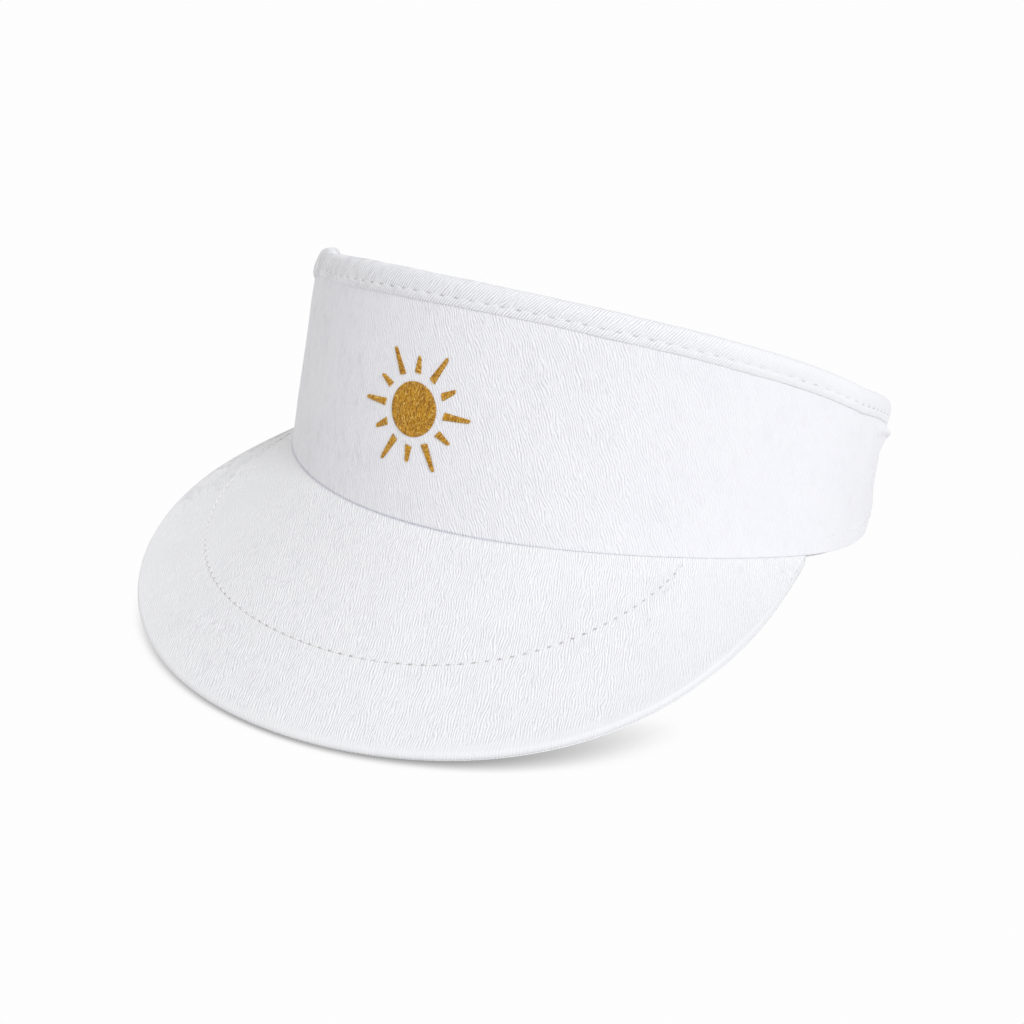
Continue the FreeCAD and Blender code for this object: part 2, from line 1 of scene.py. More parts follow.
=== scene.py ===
# Sun visor: a crepe cloth band with a curved brim, a gold sun motif at the front and a
# hook-and-loop strap behind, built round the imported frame.
# Shapes are worked out in the worn frame, in mm: origin at the band's centre, front at -y,
# +x the wearer's left, +z up. to_row() tilts and moves them into the row frame, in metres.
import bpy
import json
import math
import numpy as np
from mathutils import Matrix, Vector


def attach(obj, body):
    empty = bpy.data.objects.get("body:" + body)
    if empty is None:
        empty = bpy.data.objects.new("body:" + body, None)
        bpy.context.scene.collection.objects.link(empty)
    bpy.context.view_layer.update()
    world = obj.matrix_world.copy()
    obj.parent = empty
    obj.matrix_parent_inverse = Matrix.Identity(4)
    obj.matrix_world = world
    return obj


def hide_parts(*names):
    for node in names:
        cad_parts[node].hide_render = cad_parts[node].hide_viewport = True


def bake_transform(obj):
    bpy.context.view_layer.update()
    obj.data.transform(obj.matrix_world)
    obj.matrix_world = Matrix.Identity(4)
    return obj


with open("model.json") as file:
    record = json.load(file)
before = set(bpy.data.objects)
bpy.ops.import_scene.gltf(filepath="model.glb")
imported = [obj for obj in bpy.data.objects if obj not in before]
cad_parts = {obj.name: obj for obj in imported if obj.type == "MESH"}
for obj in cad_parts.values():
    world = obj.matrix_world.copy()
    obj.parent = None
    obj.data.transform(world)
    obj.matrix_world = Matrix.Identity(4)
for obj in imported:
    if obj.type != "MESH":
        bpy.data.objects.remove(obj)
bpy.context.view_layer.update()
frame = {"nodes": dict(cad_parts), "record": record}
TURN = 2 * np.pi

HEAD = [m for m in frame["record"]["mounts"] if m["name"] == "head_opening"][0]
SHIFT = np.array(HEAD["pos_m"]) * 1000.0
TILT = math.asin(-HEAD["axis"][1])

# Band
BAND_R = 96.0                    # radius at the sides and back
FRONT_R = 85.6                   # reach of the centre front
DRAW_X, DRAW_Y = 0.04, 0.16      # how far the front curve is drawn in from an ellipse
TOP_FRONT, TOP_REAR = 65.1, 24.5  # height of the top edge
TOP_SWELL = 3.0                  # extra height at the sides
FRONT_DIP = -4.9                 # height of the bottom edge at centre front
TAPER = 0.01 / 65.0              # shrink per mm of height
BAND_END = 127.0                 # degrees from the front to each end

# Brim
BRIM_HALF = math.radians(76.9)   # root angle at each corner
BRIM_LENGTH = 71.6
PITCH_MID, PITCH_DROP = 43.1, 22.2 - 43.1  # slope in degrees: centre, change at corners
OUTLINE_POWER, OUTLINE_ROUND = 4.0, 0.40
FORWARD = 0.80                   # share of straight ahead in the brim's direction
BRIM_SAG = 0.8                   # rise of the arch between root and rim

# Straps: circles about the band axis
STRAP_R = 94.0                   # inner face
STRAP_THICK = 1.2
STRAP_LIFT = 3.3                 # step outwards where the hook strap laps the loop strap
STRAP_LOW, STRAP_HIGH = 0.8, 25.0
STRAP_TAPER = BAND_R * TAPER


# ------------------------------------------------------------------ band geometry
def to_row(points):
    """Worn frame in mm to row frame in metres."""
    points = np.asarray(points, float)
    x, y, z = points[..., 0], points[..., 1], points[..., 2]
    c, s = math.cos(TILT), math.sin(TILT)
    return (np.stack([x, y * c + z * s, -y * s + z * c], -1) + SHIFT) / 1000.0


def ease(x):
    x = np.clip(x, 0, 1)
    return x * x * (3 - 2 * x)


def fade(x, start, end):
    """Smooth step: 0 at start, 1 at end, whichever is larger."""
    return ease((x - start) / (end - start))


def bell(x, width):
    return np.exp(-(x / width) ** 2)


def ring(theta):
    """Plan of the band; theta is 0 at the front and grows towards +x."""
    s, c = np.sin(theta), np.cos(theta)
    front = c > 0
    x = np.where(front, BAND_R * s * (1 - DRAW_X * c * c), BAND_R * s)
    y = np.where(front, -FRONT_R * c * (1 - DRAW_Y * s * s), -BAND_R * c)
    return x, y


def ring_normal(theta):
    """Outward normal of the plan."""
    e = 2e-3
    x1, y1 = ring(theta + e)
    x0, y0 = ring(theta - e)
    dx, dy = x1 - x0, y1 - y0
    length = np.hypot(dx, dy)
    return dy / length, -dx / length


def outward(theta):
    nx, ny = ring_normal(theta)
    return np.stack([nx, ny, 0 * nx], -1)


def bottom(theta):
    c = np.cos(theta)
    return np.where(c > 0, FRONT_DIP * c * c, 0.0)


def top(theta):
    c, s = np.cos(theta), np.sin(theta)
    return TOP_FRONT + (TOP_REAR - TOP_FRONT) * (1 - c) / 2 + TOP_SWELL * s * s


def side_window(theta):
    """1 over the part of the band that turns back on the -x side."""
    deg = np.degrees(theta)
    return fade(deg, -34.5, -42) * fade(deg, -94, -61)


def cloth_lean(theta, z, inset):
    """How far the cloth leans in (+) or out (-) from the plain cone."""
    deg = np.abs(np.degrees(theta))
    up = np.clip((z - bottom(theta)) / 60.0, 0, 1.3)
    near_end = fade(deg, 99, 110) * fade(deg, 123, 117) * np.clip((1.9 - inset) / 0.9, 0, 1)
    below = top(theta) - z
    out = 2.5 * bell(below - 9.0, 1.7) + 0.6 * fade(below, 9, 5) + 0.8 * bell(z - 7.0, 5.0)
    return 0.85 * side_window(theta) * up ** 1.5 - near_end * out


def on_band(theta, inset, z):
    """Point at height z, inset mm in from the shell's outer face."""
    theta, inset, z = np.broadcast_arrays(np.asarray(theta, float), inset, z)
    inset = inset + cloth_lean(theta, z, inset)
    x, y = ring(theta)
    nx, ny = ring_normal(theta)
    k = 1 - TAPER * (z - bottom(theta))
    return np.stack([x * k - inset * nx, y * k - inset * ny, z], -1)


def path_length(points):
    steps = np.linalg.norm(np.diff(points, axis=0), axis=1)
    return np.concatenate([[0], np.cumsum(steps)])


RING_THETA = np.radians(np.linspace(-180, 180, 14401))
RING_ARC = path_length(np.stack(ring(RING_THETA), -1))
RING_ARC -= np.interp(0.0, RING_THETA, RING_ARC)


def arc_at(theta):
    """Distance round the band from the centre front."""
    return np.interp(theta, RING_THETA, RING_ARC)


def angle_at(arc):
    return np.interp(arc, RING_ARC, RING_THETA)


def arc_deg(deg):
    return float(arc_at(math.radians(deg)))


def even_angles(start, end, step):
    """Angles between two bearings in degrees, evenly spaced along the arc."""
    a0, a1 = arc_deg(start), arc_deg(end)
    count = max(3, int(abs(a1 - a0) / step) + 1)
    return angle_at(np.linspace(a0, a1, count))


END_ARC = arc_deg(BAND_END)


# --------------------------------------------------------------------- cloth relief
_lattices = {}


def noise(x, y, seed):
    """Smooth value noise, -1 to 1, one lattice cell per unit."""
    if seed not in _lattices:
        _lattices[seed] = np.random.RandomState(seed).uniform(-1, 1, (256, 256))
    grid = _lattices[seed]
    xi, yi = np.floor(x).astype(int), np.floor(y).astype(int)
    fx, fy = x - xi, y - yi
    u = fx * fx * fx * (fx * (fx * 6 - 15) + 10)
    v = fy * fy * fy * (fy * (fy * 6 - 15) + 10)
    x0, x1, y0, y1 = xi & 255, (xi + 1) & 255, yi & 255, (yi + 1) & 255
    near = grid[x0, y0] * (1 - u) + grid[x1, y0] * u
    far = grid[x0, y1] * (1 - u) + grid[x1, y1] * u
    return near * (1 - v) + far * v


def crepe(u, v, seed):
    """Crepe ridges, about -1 to 1; u lies across the ridges and v along them."""
    wander = 0.50 * noise(u / 6.0, v / 9.0, seed) + 0.17 * noise(u / 1.9, v / 3.0, seed + 1)
    lean = 0.09 * v + 0.4 * noise(u / 2.6, v / 4.0, seed + 2)
    lean_back = -0.08 * v + 0.3 * noise(u / 2.2, v / 3.4, seed + 5)
    straight_share = ease(0.5 + 0.8 * noise(u / 1.5, v / 3.2, seed + 3))
    lean_share = ease(0.5 + 0.9 * noise(u / 1.3, v / 2.6, seed + 7))
    strength = 0.70 + 0.30 * noise(u / 7.0, v / 7.0, seed + 4)
    return strength * (0.80 * straight_share * np.sin(TURN * (u + wander) / 0.80)
                       + 0.62 * (1 - straight_share) * lean_share * np.sin(TURN * (u + lean) / 0.90)
                       + 0.42 * (1 - lean_share) * np.sin(TURN * (u + lean_back) / 0.72)
                       + 0.22 * noise(u / 0.55, v / 1.1, seed + 6))


def seam_shade(theta, distance):
    """Shade drawn into the seam between the band and the brim."""
    deg = np.degrees(theta)
    line = bell(np.maximum(distance, 0), 0.42)
    return line * (0.40 - 0.32 * fade(deg, 0, 40)) * (np.abs(deg) < 78)


def ridge_shading_weight(theta):
    """How strongly the painted ridge shade and highlight show round the band: weaker towards -x,
    strongest at the front, faded on the +x side that faces the key light.
    """
    deg = np.degrees(theta)
    return (0.30 + 0.62 * fade(deg, -28, 6)) * (1 - 0.90 * fade(deg, 20, 66))


# -------------------------------------------------------------------- mesh building
def face_outwards(mesh):
    """Point the faces of a closed piece outwards, judged by signed volume."""
    mesh.calc_loop_triangles()
    corners = np.zeros(len(mesh.loop_triangles) * 3, np.int32)
    mesh.loop_triangles.foreach_get("vertices", corners)
    points = np.zeros(len(mesh.vertices) * 3, np.float32)
    mesh.vertices.foreach_get("co", points)
    points = points.reshape(-1, 3).astype(float)
    points = points - points.mean(0)
    t = points[corners.reshape(-1, 3)]
    if np.einsum("ij,ij->i", t[:, 0], np.cross(t[:, 1], t[:, 2])).sum() < 0:
        mesh.flip_normals()


def mesh_object(name, points, quads, caps, material, uv, attributes=None):
    """Closed smooth mesh of quads and many-sided caps; points in the worn frame."""
    mesh = bpy.data.meshes.new(name)
    points = to_row(points.reshape(-1, 3)).astype(np.float32)
    quads = np.asarray(quads, np.int32)
    caps = [np.asarray(cap, np.int32) for cap in caps]
    corners = np.concatenate([quads.ravel()] + caps).astype(np.int32)
    cap_sizes = np.array([len(cap) for cap in caps])
    cap_starts = quads.size + np.concatenate([[0], np.cumsum(cap_sizes)[:-1]])
    starts = np.concatenate([np.arange(len(quads)) * 4, cap_starts]).astype(np.int32)
    mesh.vertices.add(len(points))
    mesh.vertices.foreach_set("co", points.ravel())
    mesh.loops.add(len(corners))
    mesh.loops.foreach_set("vertex_index", corners)
    mesh.polygons.add(len(starts))
    mesh.polygons.foreach_set("loop_start", starts)
    mesh.update(calc_edges=True)
    layer = mesh.uv_layers.new(name="UVMap")
    layer.data.foreach_set("uv", uv.reshape(-1, 2)[corners].astype(np.float32).ravel())
    mesh.polygons.foreach_set("use_smooth", np.full(len(starts), True))
    for key, values in (attributes or {}).items():
        layer = mesh.attributes.new(key, "FLOAT", "POINT")
        layer.data.foreach_set("value", np.asarray(values, np.float32).ravel())
    mesh.validate()
    mesh.update()
    obj = bpy.data.objects.new(name, mesh)
    bpy.context.scene.collection.objects.link(obj)
    mesh.materials.append(material)
    face_outwards(mesh)
    return obj


def loop_faces(count, sides, first=0):
    """Quads and two caps over `count` closed profiles of `sides` points."""
    index = first + np.arange(count * sides).reshape(count, sides)
    a, b = index[:-1], index[1:]
    quads = np.stack([a, b, np.roll(b, -1, 1), np.roll(a, -1, 1)], -1).reshape(-1, 4)
    return quads, [index[0], index[-1][::-1]]


def loop_mesh(name, points, material, uv, attributes=None):
    """points[n, j, 3]: n closed profiles. uv and attributes are spread to the [n, j] grid."""
    grid = points.shape[:2]
    uv = np.stack([np.broadcast_to(c, grid) for c in uv], -1)
    spread = {k: np.broadcast_to(v, grid) for k, v in (attributes or {}).items()}
    return mesh_object(name, points, *loop_faces(*grid), material, uv, spread)


def unit(vectors):
    return vectors / (np.linalg.norm(vectors, axis=-1, keepdims=True) + 1e-12)


def tubes(name, lines, radius, material, sides=7, flat=1.0, ply=0.08, turns=2.0,
          uv_rows=None, taper=True):
    """Many threads at once. lines: centre lines [m, k, 3] and outward normals.

    ply is the depth of the two-ply twist and turns its number of turns."""
    centre = np.asarray(lines[0], float)
    normal = np.broadcast_to(np.asarray(lines[1], float), centre.shape)
    m, k = centre.shape[:2]
    along = unit(np.gradient(centre, axis=1))
    side = unit(np.cross(along, normal))
    up = np.cross(side, along)
    phase = np.linspace(0, TURN, sides, endpoint=False)
    u = np.linspace(0, 1, k)
    profile = np.ones(k)
    if taper:
        profile = np.clip(np.minimum(u, 1 - u) * (k - 1) * 0.5 + 0.55, 0.55, 1.0)
    twist = 1 + ply * np.cos(2 * (phase[None, :] - TURN * turns * u[:, None]))
    r = ((radius * profile)[:, None] * twist)[None, ..., None]
    points = centre[:, :, None] + r * (
        np.cos(phase)[:, None] * side[:, :, None]
        + flat * np.sin(phase)[:, None] * up[:, :, None])
    index = np.arange(m * k * sides).reshape(m, k, sides)
    a, b = index[:, :-1], index[:, 1:]
    quads = np.stack([a, np.roll(a, -1, 2), np.roll(b, -1, 2), b], -1).reshape(-1, 4)
    caps = list(index[:, 0, ::-1]) + list(index[:, -1, :])
    uv = np.zeros((m, k, sides, 2))
    length = np.linalg.norm(np.diff(centre, axis=1), axis=-1).sum(1)
    uv[..., 0] = (length[:, None] * u[None])[..., None]
    rows = np.arange(m) if uv_rows is None else uv_rows
    uv[..., 1] = rows[:, None, None] + phase / 6.2832 * 0.9
    return mesh_object(name, points, quads, caps, material, uv)


def join(*runs):
    """Join several (points, normals) runs of threads."""
    return [np.concatenate(parts) for parts in zip(*runs)]


def gather(lines):
    """List of (points, normals) pairs to two arrays."""
    return [np.array(parts) for parts in zip(*lines)]


# ------------------------------------------------------------------------ materials
WAVE_SCALE = 0.314159            # Wave Texture scale that gives a period of 1


def clean_tree(owner):
    owner.use_nodes = True
    owner.node_tree.nodes.clear()
    return owner.node_tree


def add_node(tree, kind, inputs=None, **settings):
    """New shader node; inputs maps a socket to a value or to the socket that feeds it."""
    node = tree.nodes.new("ShaderNode" + kind)
    for key, value in settings.items():
        setattr(node, key, value)
    for key, value in (inputs or {}).items():
        if isinstance(value, bpy.types.NodeSocket):
            tree.links.new(value, node.inputs[key])
        else:
            node.inputs[key].default_value = value
    return node


class Material:
    """Principled material whose colour and bump height are built up in layers.

    Texture coordinates are in mm, so frequencies are per mm."""

    def __init__(self, name, color, roughness, sheen, specular, coords="UV"):
        self.material = bpy.data.materials.new(name)
        self.tree = clean_tree(self.material)
        output = self.add("OutputMaterial")
        self.shader = self.add("BsdfPrincipled", {
            "Roughness": roughness, "Sheen Weight": sheen, "Sheen Roughness": 0.55,
            "Specular IOR Level": specular})
        self.tree.links.new(self.shader.outputs[0], output.inputs[0])
        source = self.add("TexCoord").outputs[coords]
        metres_to_mm = {} if coords == "UV" else {"Scale": (1000, 1000, 1000)}
        self.coords = self.mapping(source, **metres_to_mm)
        base = self.add("RGB")
        base.outputs[0].default_value = (*color, 1)
        self.color = base.outputs[0]
        self.height = None

    def add(self, kind, inputs=None, **settings):
        return add_node(self.tree, kind, inputs, **settings)

    def mapping(self, source, **values):
        return self.add("Mapping", {"Vector": source, **values}).outputs[0]

    def scaled(self, scale, angle=0.0):
        source = self.mapping(self.coords, Rotation=(0, 0, angle)) if angle else self.coords
        return self.mapping(source, Scale=scale)

    def noise(self, frequency, detail, roughness=0.5, angle=0.0):
        return self.add("TexNoise", {
            "Vector": self.scaled(frequency, angle), "Scale": 1.0, "Detail": detail,
            "Roughness": roughness}).outputs[0]

    def wave(self, period, angle, distortion, detail_scale):
        return self.add("TexWave", {
            "Vector": self.scaled((1, 1, 1), angle), "Scale": WAVE_SCALE / period,
            "Distortion": distortion, "Detail Scale": detail_scale,
            "Detail": 1.0}).outputs["Fac"]

    def voronoi(self, frequency):
        vector = self.scaled((frequency,) * 3)
        return self.add("TexVoronoi", {"Vector": vector, "Scale": 1.0}).outputs["Distance"]

    def math(self, operation, a, b=0.0):
        return self.add("Math", {0: a, 1: b}, operation=operation).outputs[0]

    def ramp(self, value, low, high):
        return self.add("MapRange", {0: value, 1: low, 2: high}).outputs[0]

    def attribute(self, name):
        return self.add("Attribute", attribute_name=name).outputs["Fac"]

    def raise_by(self, source, amount):
        """Add a layer of bump height."""
        layer = self.math("MULTIPLY", source, amount)
        self.height = layer if self.height is None else self.math("ADD", self.height, layer)

    def tint(self, mask, color, amount):
        """Mix in a colour; sockets 6 and 7 are the Mix node's A and B colours."""
        factor = self.math("MULTIPLY", mask, amount)
        mix = self.add("Mix", data_type="RGBA",
                       inputs={0: factor, 6: self.color, 7: (*color, 1)})
        self.color = mix.outputs[2]

    def raise_wave(self, amount, period, angle=0.0, distortion=0.5, detail_scale=1.0):
        self.raise_by(self.wave(period, angle, distortion, detail_scale), amount)

    def raise_noise(self, amount, frequency, detail, roughness=0.5):
        self.raise_by(self.noise(frequency, detail, roughness), amount)

    def mottle(self, color, amount, frequency, span, detail=3, roughness=0.6):
        """Tint where noise runs through the span of values."""
        self.tint(self.ramp(self.noise(frequency, detail, roughness), *span), color, amount)

    def ridge_lines(self, period, angle, wander, split):
        """Narrow crepe lines along v, broken up and wandering; about -1 to 1."""
        turned = self.mapping(self.coords, Rotation=(0, 0, angle))
        axes = self.add("SeparateXYZ", {0: turned})
        u, v = axes.outputs[0], axes.outputs[1]
        op = self.math

        def field(across, along, detail=0.0, roughness=0.5, depth=1.0):
            return self.noise((1 / across, 1 / along, depth), detail, roughness, angle)

        def centred(value, amount):
            return op("MULTIPLY", op("SUBTRACT", value, 0.5), amount)

        def blend(a, b, share):
            return op("ADD", op("MULTIPLY", a, share),
                      op("MULTIPLY", b, op("SUBTRACT", 1.0, share)))

        def lines(position, pace):
            return op("SINE", op("MULTIPLY", position, 2 * math.pi / period * pace))

        phase = op("ADD", u, centred(field(7.0, 10.0, detail=1.0), 1.9 * wander))
        phase = op("ADD", phase, centred(field(1.9, 3.2, detail=1.0), 0.62 * wander))
        straight = lines(phase, 1.0)
        leaning = lines(op("ADD", phase, op("MULTIPLY", v, split)), 0.93)
        leaning_back = lines(op("SUBTRACT", phase, op("MULTIPLY", v, split)), 1.09)
        straight_share = self.ramp(field(1.7, 3.6), 0.40, 0.60)
        back_share = self.ramp(field(2.3, 4.4, depth=3.0), 0.46, 0.62)
        relief = blend(straight, leaning, straight_share)
        relief = blend(leaning_back, relief, back_share)
        strength = self.ramp(field(1.1, 2.4, 1.0, 0.6, depth=2.0), 0.28, 0.66)
        relief = op("MULTIPLY", relief, op("ADD", 0.45, op("MULTIPLY", strength, 0.75)))
        return op("ADD", relief, centred(field(0.36, 0.7), 0.7))

    def finish(self, bump_mm, strength=0.6):
        """Join colour and bump to the shader."""
        links = self.tree.links
        links.new(self.color, self.shader.inputs["Base Color"])
        bump = self.add("Bump", {"Distance": bump_mm / 1000.0, "Strength": strength,
                                 "Height": self.height})
        links.new(bump.outputs[0], self.shader.inputs["Normal"])
        return self.material


def cotton_base(name, color, period, mottling, weave):
    """Plain woven cotton: thread period in mm, mottling and weave strength."""
    m = Material(name, color, roughness=0.92, sheen=0.18, specular=0.18)
    for angle in (0.0, math.pi / 2):
        m.raise_wave(0.5 * weave, period, angle, distortion=1.2, detail_scale=2.0)
    m.raise_noise(0.9 * weave, (2.6, 1.1, 1.0), detail=4, roughness=0.6)
    shade = (color[0] * 0.86, color[1] * 0.86, color[2] * 0.885)
    m.mottle(shade, mottling * 4, (0.05, 0.035, 0.05), (0.35, 0.75), roughness=0.55)
    m.mottle(shade, mottling * 5, (1.9, 0.5, 1.0), (0.45, 0.85))
    return m


def crepe_cotton(name, color, period=0.30, mottling=0.05, depth=0.30, slant=0.0,
                 ridge_period=0.80, ribbed=False):
    """Cotton with crepe lines, with painted shade in the ridge valleys and painted highlight on the
    crests, set by the mesh attributes.

    depth: strength of the painted valley shade and crest highlight on the modelled ridges; slant:
    angle of the fine lines."""
    m = cotton_base(name, color, period, mottling, weave=0.6)
    valley_shade = (color[0] * 0.60, color[1] * 0.595, color[2] * 0.635)
    crest_highlight = (0.99, 0.99, 0.995)
    ridge, weight = m.attribute("ridge"), m.attribute("tex")
    # Painted shade in the ridge valleys and painted highlight on the crests
    m.tint(m.ramp(ridge, 0.5, 0.0), valley_shade, depth)
    m.tint(m.ramp(ridge, 0.5, 1.0), crest_highlight, depth * 0.8)
    wander, split = (0.35, 0.05) if ribbed else (1.0, 0.10)
    fine = m.ridge_lines(ridge_period, slant, wander, split)
    m.raise_by(fine, 0.75)
    # The fine crepe lines also get painted shade and painted highlight, scaled by the tex attribute
    for end, tone, amount in ((-1.0, valley_shade, 0.62), (1.0, crest_highlight, 1.0)):
        m.tint(m.math("MULTIPLY", m.ramp(fine, 0.0, end), weight), tone, amount)
    # Painted shade in the needle holes
    m.tint(m.attribute("dark"), (0.33, 0.30, 0.29), 0.85)
    # Painted shade along the seam between the band and the brim
    m.tint(m.attribute("seam"), (0.40, 0.39, 0.52), 1.0)
    return m.finish(bump_mm=0.035)


def lining_cotton():
    m = cotton_base("Lining_Weave", (0.80, 0.80, 0.80), period=0.42, mottling=0.05, weave=1.0)
    return m.finish(bump_mm=0.035)


def towelling():
    m = Material("Terry_Towelling", (0.86, 0.86, 0.85), roughness=0.96, sheen=0.45, specular=0.1)
    m.raise_by(m.voronoi(1.5), -1.3)
    m.raise_noise(0.6, (3.5, 3.5, 1), detail=3, roughness=0.6)
    m.mottle((0.74, 0.74, 0.735), 0.35, (0.4, 0.4, 1), (0.4, 0.8))
    # Painted shade in the gaps between the loops, where the bump is lowest
    m.tint(m.ramp(m.voronoi(1.5), 0.25, 0.75), (0.70, 0.70, 0.69), 0.45)
    return m.finish(bump_mm=0.20, strength=0.8)


def thread(name, color, shade):
    m = Material(name, color, roughness=0.55, sheen=0.3, specular=0.4)
    m.raise_wave(0.8, period=0.42, angle=0.6, distortion=0.6)
    m.raise_noise(0.4, (6.0, 18.0, 1), detail=2)
    m.mottle(shade, 0.6, (0.8, 3.7, 1), (0.35, 0.75), detail=2, roughness=0.5)
    return m.finish(bump_mm=0.05, strength=0.7)


def srgb(*channels):
    """0-255 sRGB to linear."""
    return tuple(c / 255 / 12.92 if c / 255 <= 0.04045 else ((c / 255 + 0.055) / 1.055) ** 2.4
                 for c in channels)


def gold_thread():
    m = Material("Thread_Gold", srgb(206, 150, 24), roughness=0.42, sheen=0.0, specular=0.42)
    m.shader.inputs["Anisotropic"].default_value = 0.6
    m.raise_wave(0.8, period=0.30, angle=0.5)
    m.raise_noise(0.5, (4.0, 14.0, 1), detail=2)
    m.mottle(srgb(140, 84, 8), 0.80, (0.35, 1.7, 1), (0.42, 0.62), detail=2, roughness=0.5)
    # Painted highlight: pale gold patches standing in for the thread's sheen
    m.mottle(srgb(252, 212, 112), 0.90, (0.9, 2.9, 2), (0.52, 0.68), detail=2, roughness=0.5)
    return m.finish(bump_mm=0.05, strength=0.8)


def webbing():
    m = Material("Strap_Webbing", (0.84, 0.84, 0.85), roughness=0.78, sheen=0.25, specular=0.3)
    m.raise_wave(1.0, period=0.62)
    m.raise_wave(0.5, period=0.40, angle=math.pi / 2)
    m.raise_noise(0.4, (3.0, 3.0, 1), detail=3, roughness=0.6)
    m.mottle((0.74, 0.74, 0.75), 0.5, (0.12, 0.12, 1), (0.4, 0.8))
    # Painted highlight on the rib crests, from the same wave as the rib bump
    m.tint(m.wave(0.62, angle=0.0, distortion=0.5, detail_scale=1.0), (0.93, 0.93, 0.94), 0.30)
    return m.finish(bump_mm=0.08, strength=0.7)


def loop_pile():
    m = Material("Loop_Pile", (0.86, 0.86, 0.865), roughness=0.95, sheen=0.5, specular=0.12)
    m.raise_noise(1.6, (2.2, 2.2, 1), detail=5, roughness=0.7)
    m.raise_by(m.voronoi(2.1), -0.8)
    m.mottle((0.70, 0.70, 0.71), 0.5, (1.1, 1.1, 1), (0.4, 0.75), detail=4, roughness=0.7)
    return m.finish(bump_mm=0.25, strength=0.9)


def hook_plastic():
    m = Material("Hook_Tape", (0.80, 0.80, 0.80), roughness=0.42, sheen=0.05, specular=0.5)
    m.raise_wave(0.8, period=0.9, distortion=0.3)
    m.raise_noise(0.5, (2.0, 2.0, 1), detail=3, roughness=0.6)
    m.mottle((0.70, 0.70, 0.71), 0.4, (0.3, 0.3, 1), (0.4, 0.8))
    return m.finish(bump_mm=0.06)


def label_satin():
    m = Material("Label_Satin", (0.88, 0.88, 0.89), roughness=0.45, sheen=0.1, specular=0.5)
    m.shader.inputs["Anisotropic"].default_value = 0.5
    m.raise_wave(0.8, period=0.22, angle=math.pi / 2, distortion=0.3)
    m.raise_wave(0.4, period=0.30, distortion=0.3)
    m.mottle((0.80, 0.80, 0.82), 0.4, (0.3, 0.3, 1), (0.4, 0.8))
    return m.finish(bump_mm=0.03)


def felt_cloth(name, color):
    m = Material(name, color, roughness=0.9, sheen=0.2, specular=0.2, coords="Object")
    m.raise_noise(1.0, (1.8, 1.8, 1.8), detail=5, roughness=0.7)
    shade = tuple(c * 0.82 for c in color)
    m.mottle(shade, 0.6, (0.9, 0.9, 0.9), (0.4, 0.7), detail=4, roughness=0.7)
    return m.finish(bump_mm=0.10)


WHITE = (0.884, 0.879, 0.902)
SHELL_CREPE = crepe_cotton("Crepe_Cotton", WHITE, slant=-0.43, ridge_period=0.76)
BRIM_CREPE = crepe_cotton("Crepe_Cotton_Brim", (0.886, 0.884, 0.888), ridge_period=0.72)
TURNED_CREPE = crepe_cotton("Crepe_Cotton_Turned", WHITE, depth=0.0)
BIAS_TWILL = crepe_cotton("Bias_Twill", (0.884, 0.882, 0.894), period=0.34, mottling=0.04,
                          depth=0.40, slant=0.6747, ridge_period=0.69, ribbed=True)
LINING = lining_cotton()
WHITE_THREAD = thread("Thread_White", (0.93, 0.93, 0.925), shade=(0.84, 0.84, 0.84))
BRIM_THREAD = thread("Thread_Brim", (0.93, 0.925, 0.915), shade=(0.82, 0.80, 0.78))
GOLD = gold_thread()
TERRY, WEBBING, PILE = towelling(), webbing(), loop_pile()
HOOK, SATIN = hook_plastic(), label_satin()
FELT = felt_cloth("Interlining_Felt", (0.72, 0.72, 0.68))

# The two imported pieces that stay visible
for node, material in (
        ("embroidery_backing", felt_cloth("Backing_Nonwoven", (0.78, 0.78, 0.76))),
        ("brim_board", felt_cloth("Brim_Board_Stock", (0.66, 0.66, 0.62)))):
    piece = frame["nodes"][node]
    if len(piece.material_slots) == 0:
        piece.data.materials.append(material)
    for slot in piece.material_slots:
        slot.material = material


def place(obj, slot, *nodes, body="visor"):
    """Tell the frame what the object rides on and hide the nodes it replaces. The slot argument is
    not used.
    """
    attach(obj, body)
    if nodes:
        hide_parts(*nodes)


def sew(name, lines, radius, node, body="visor", **options):
    """White sewing thread."""
    place(tubes(name, lines, radius, WHITE_THREAD, **options), "white_thread", node, body=body)


# ---------------------------------------------------------------------- band sheets
BIND_PITCH = 4.6                 # between the binding's needle holes
BIND_ROW = 5.15                  # binding stitch row below the nominal top


def row_drop(theta):
    """The binding's sewn row sinks from the front towards -x and comes back up."""
    deg = np.degrees(theta)
    return 0.95 * np.clip((20 - deg) / 36.0, 0, 1) ** 1.3 - fade(deg, -22, -40)


def end_rise(theta):
    """The binding climbs slightly towards the +x end."""
    return 1.15 * fade(np.degrees(theta), 80, 108)


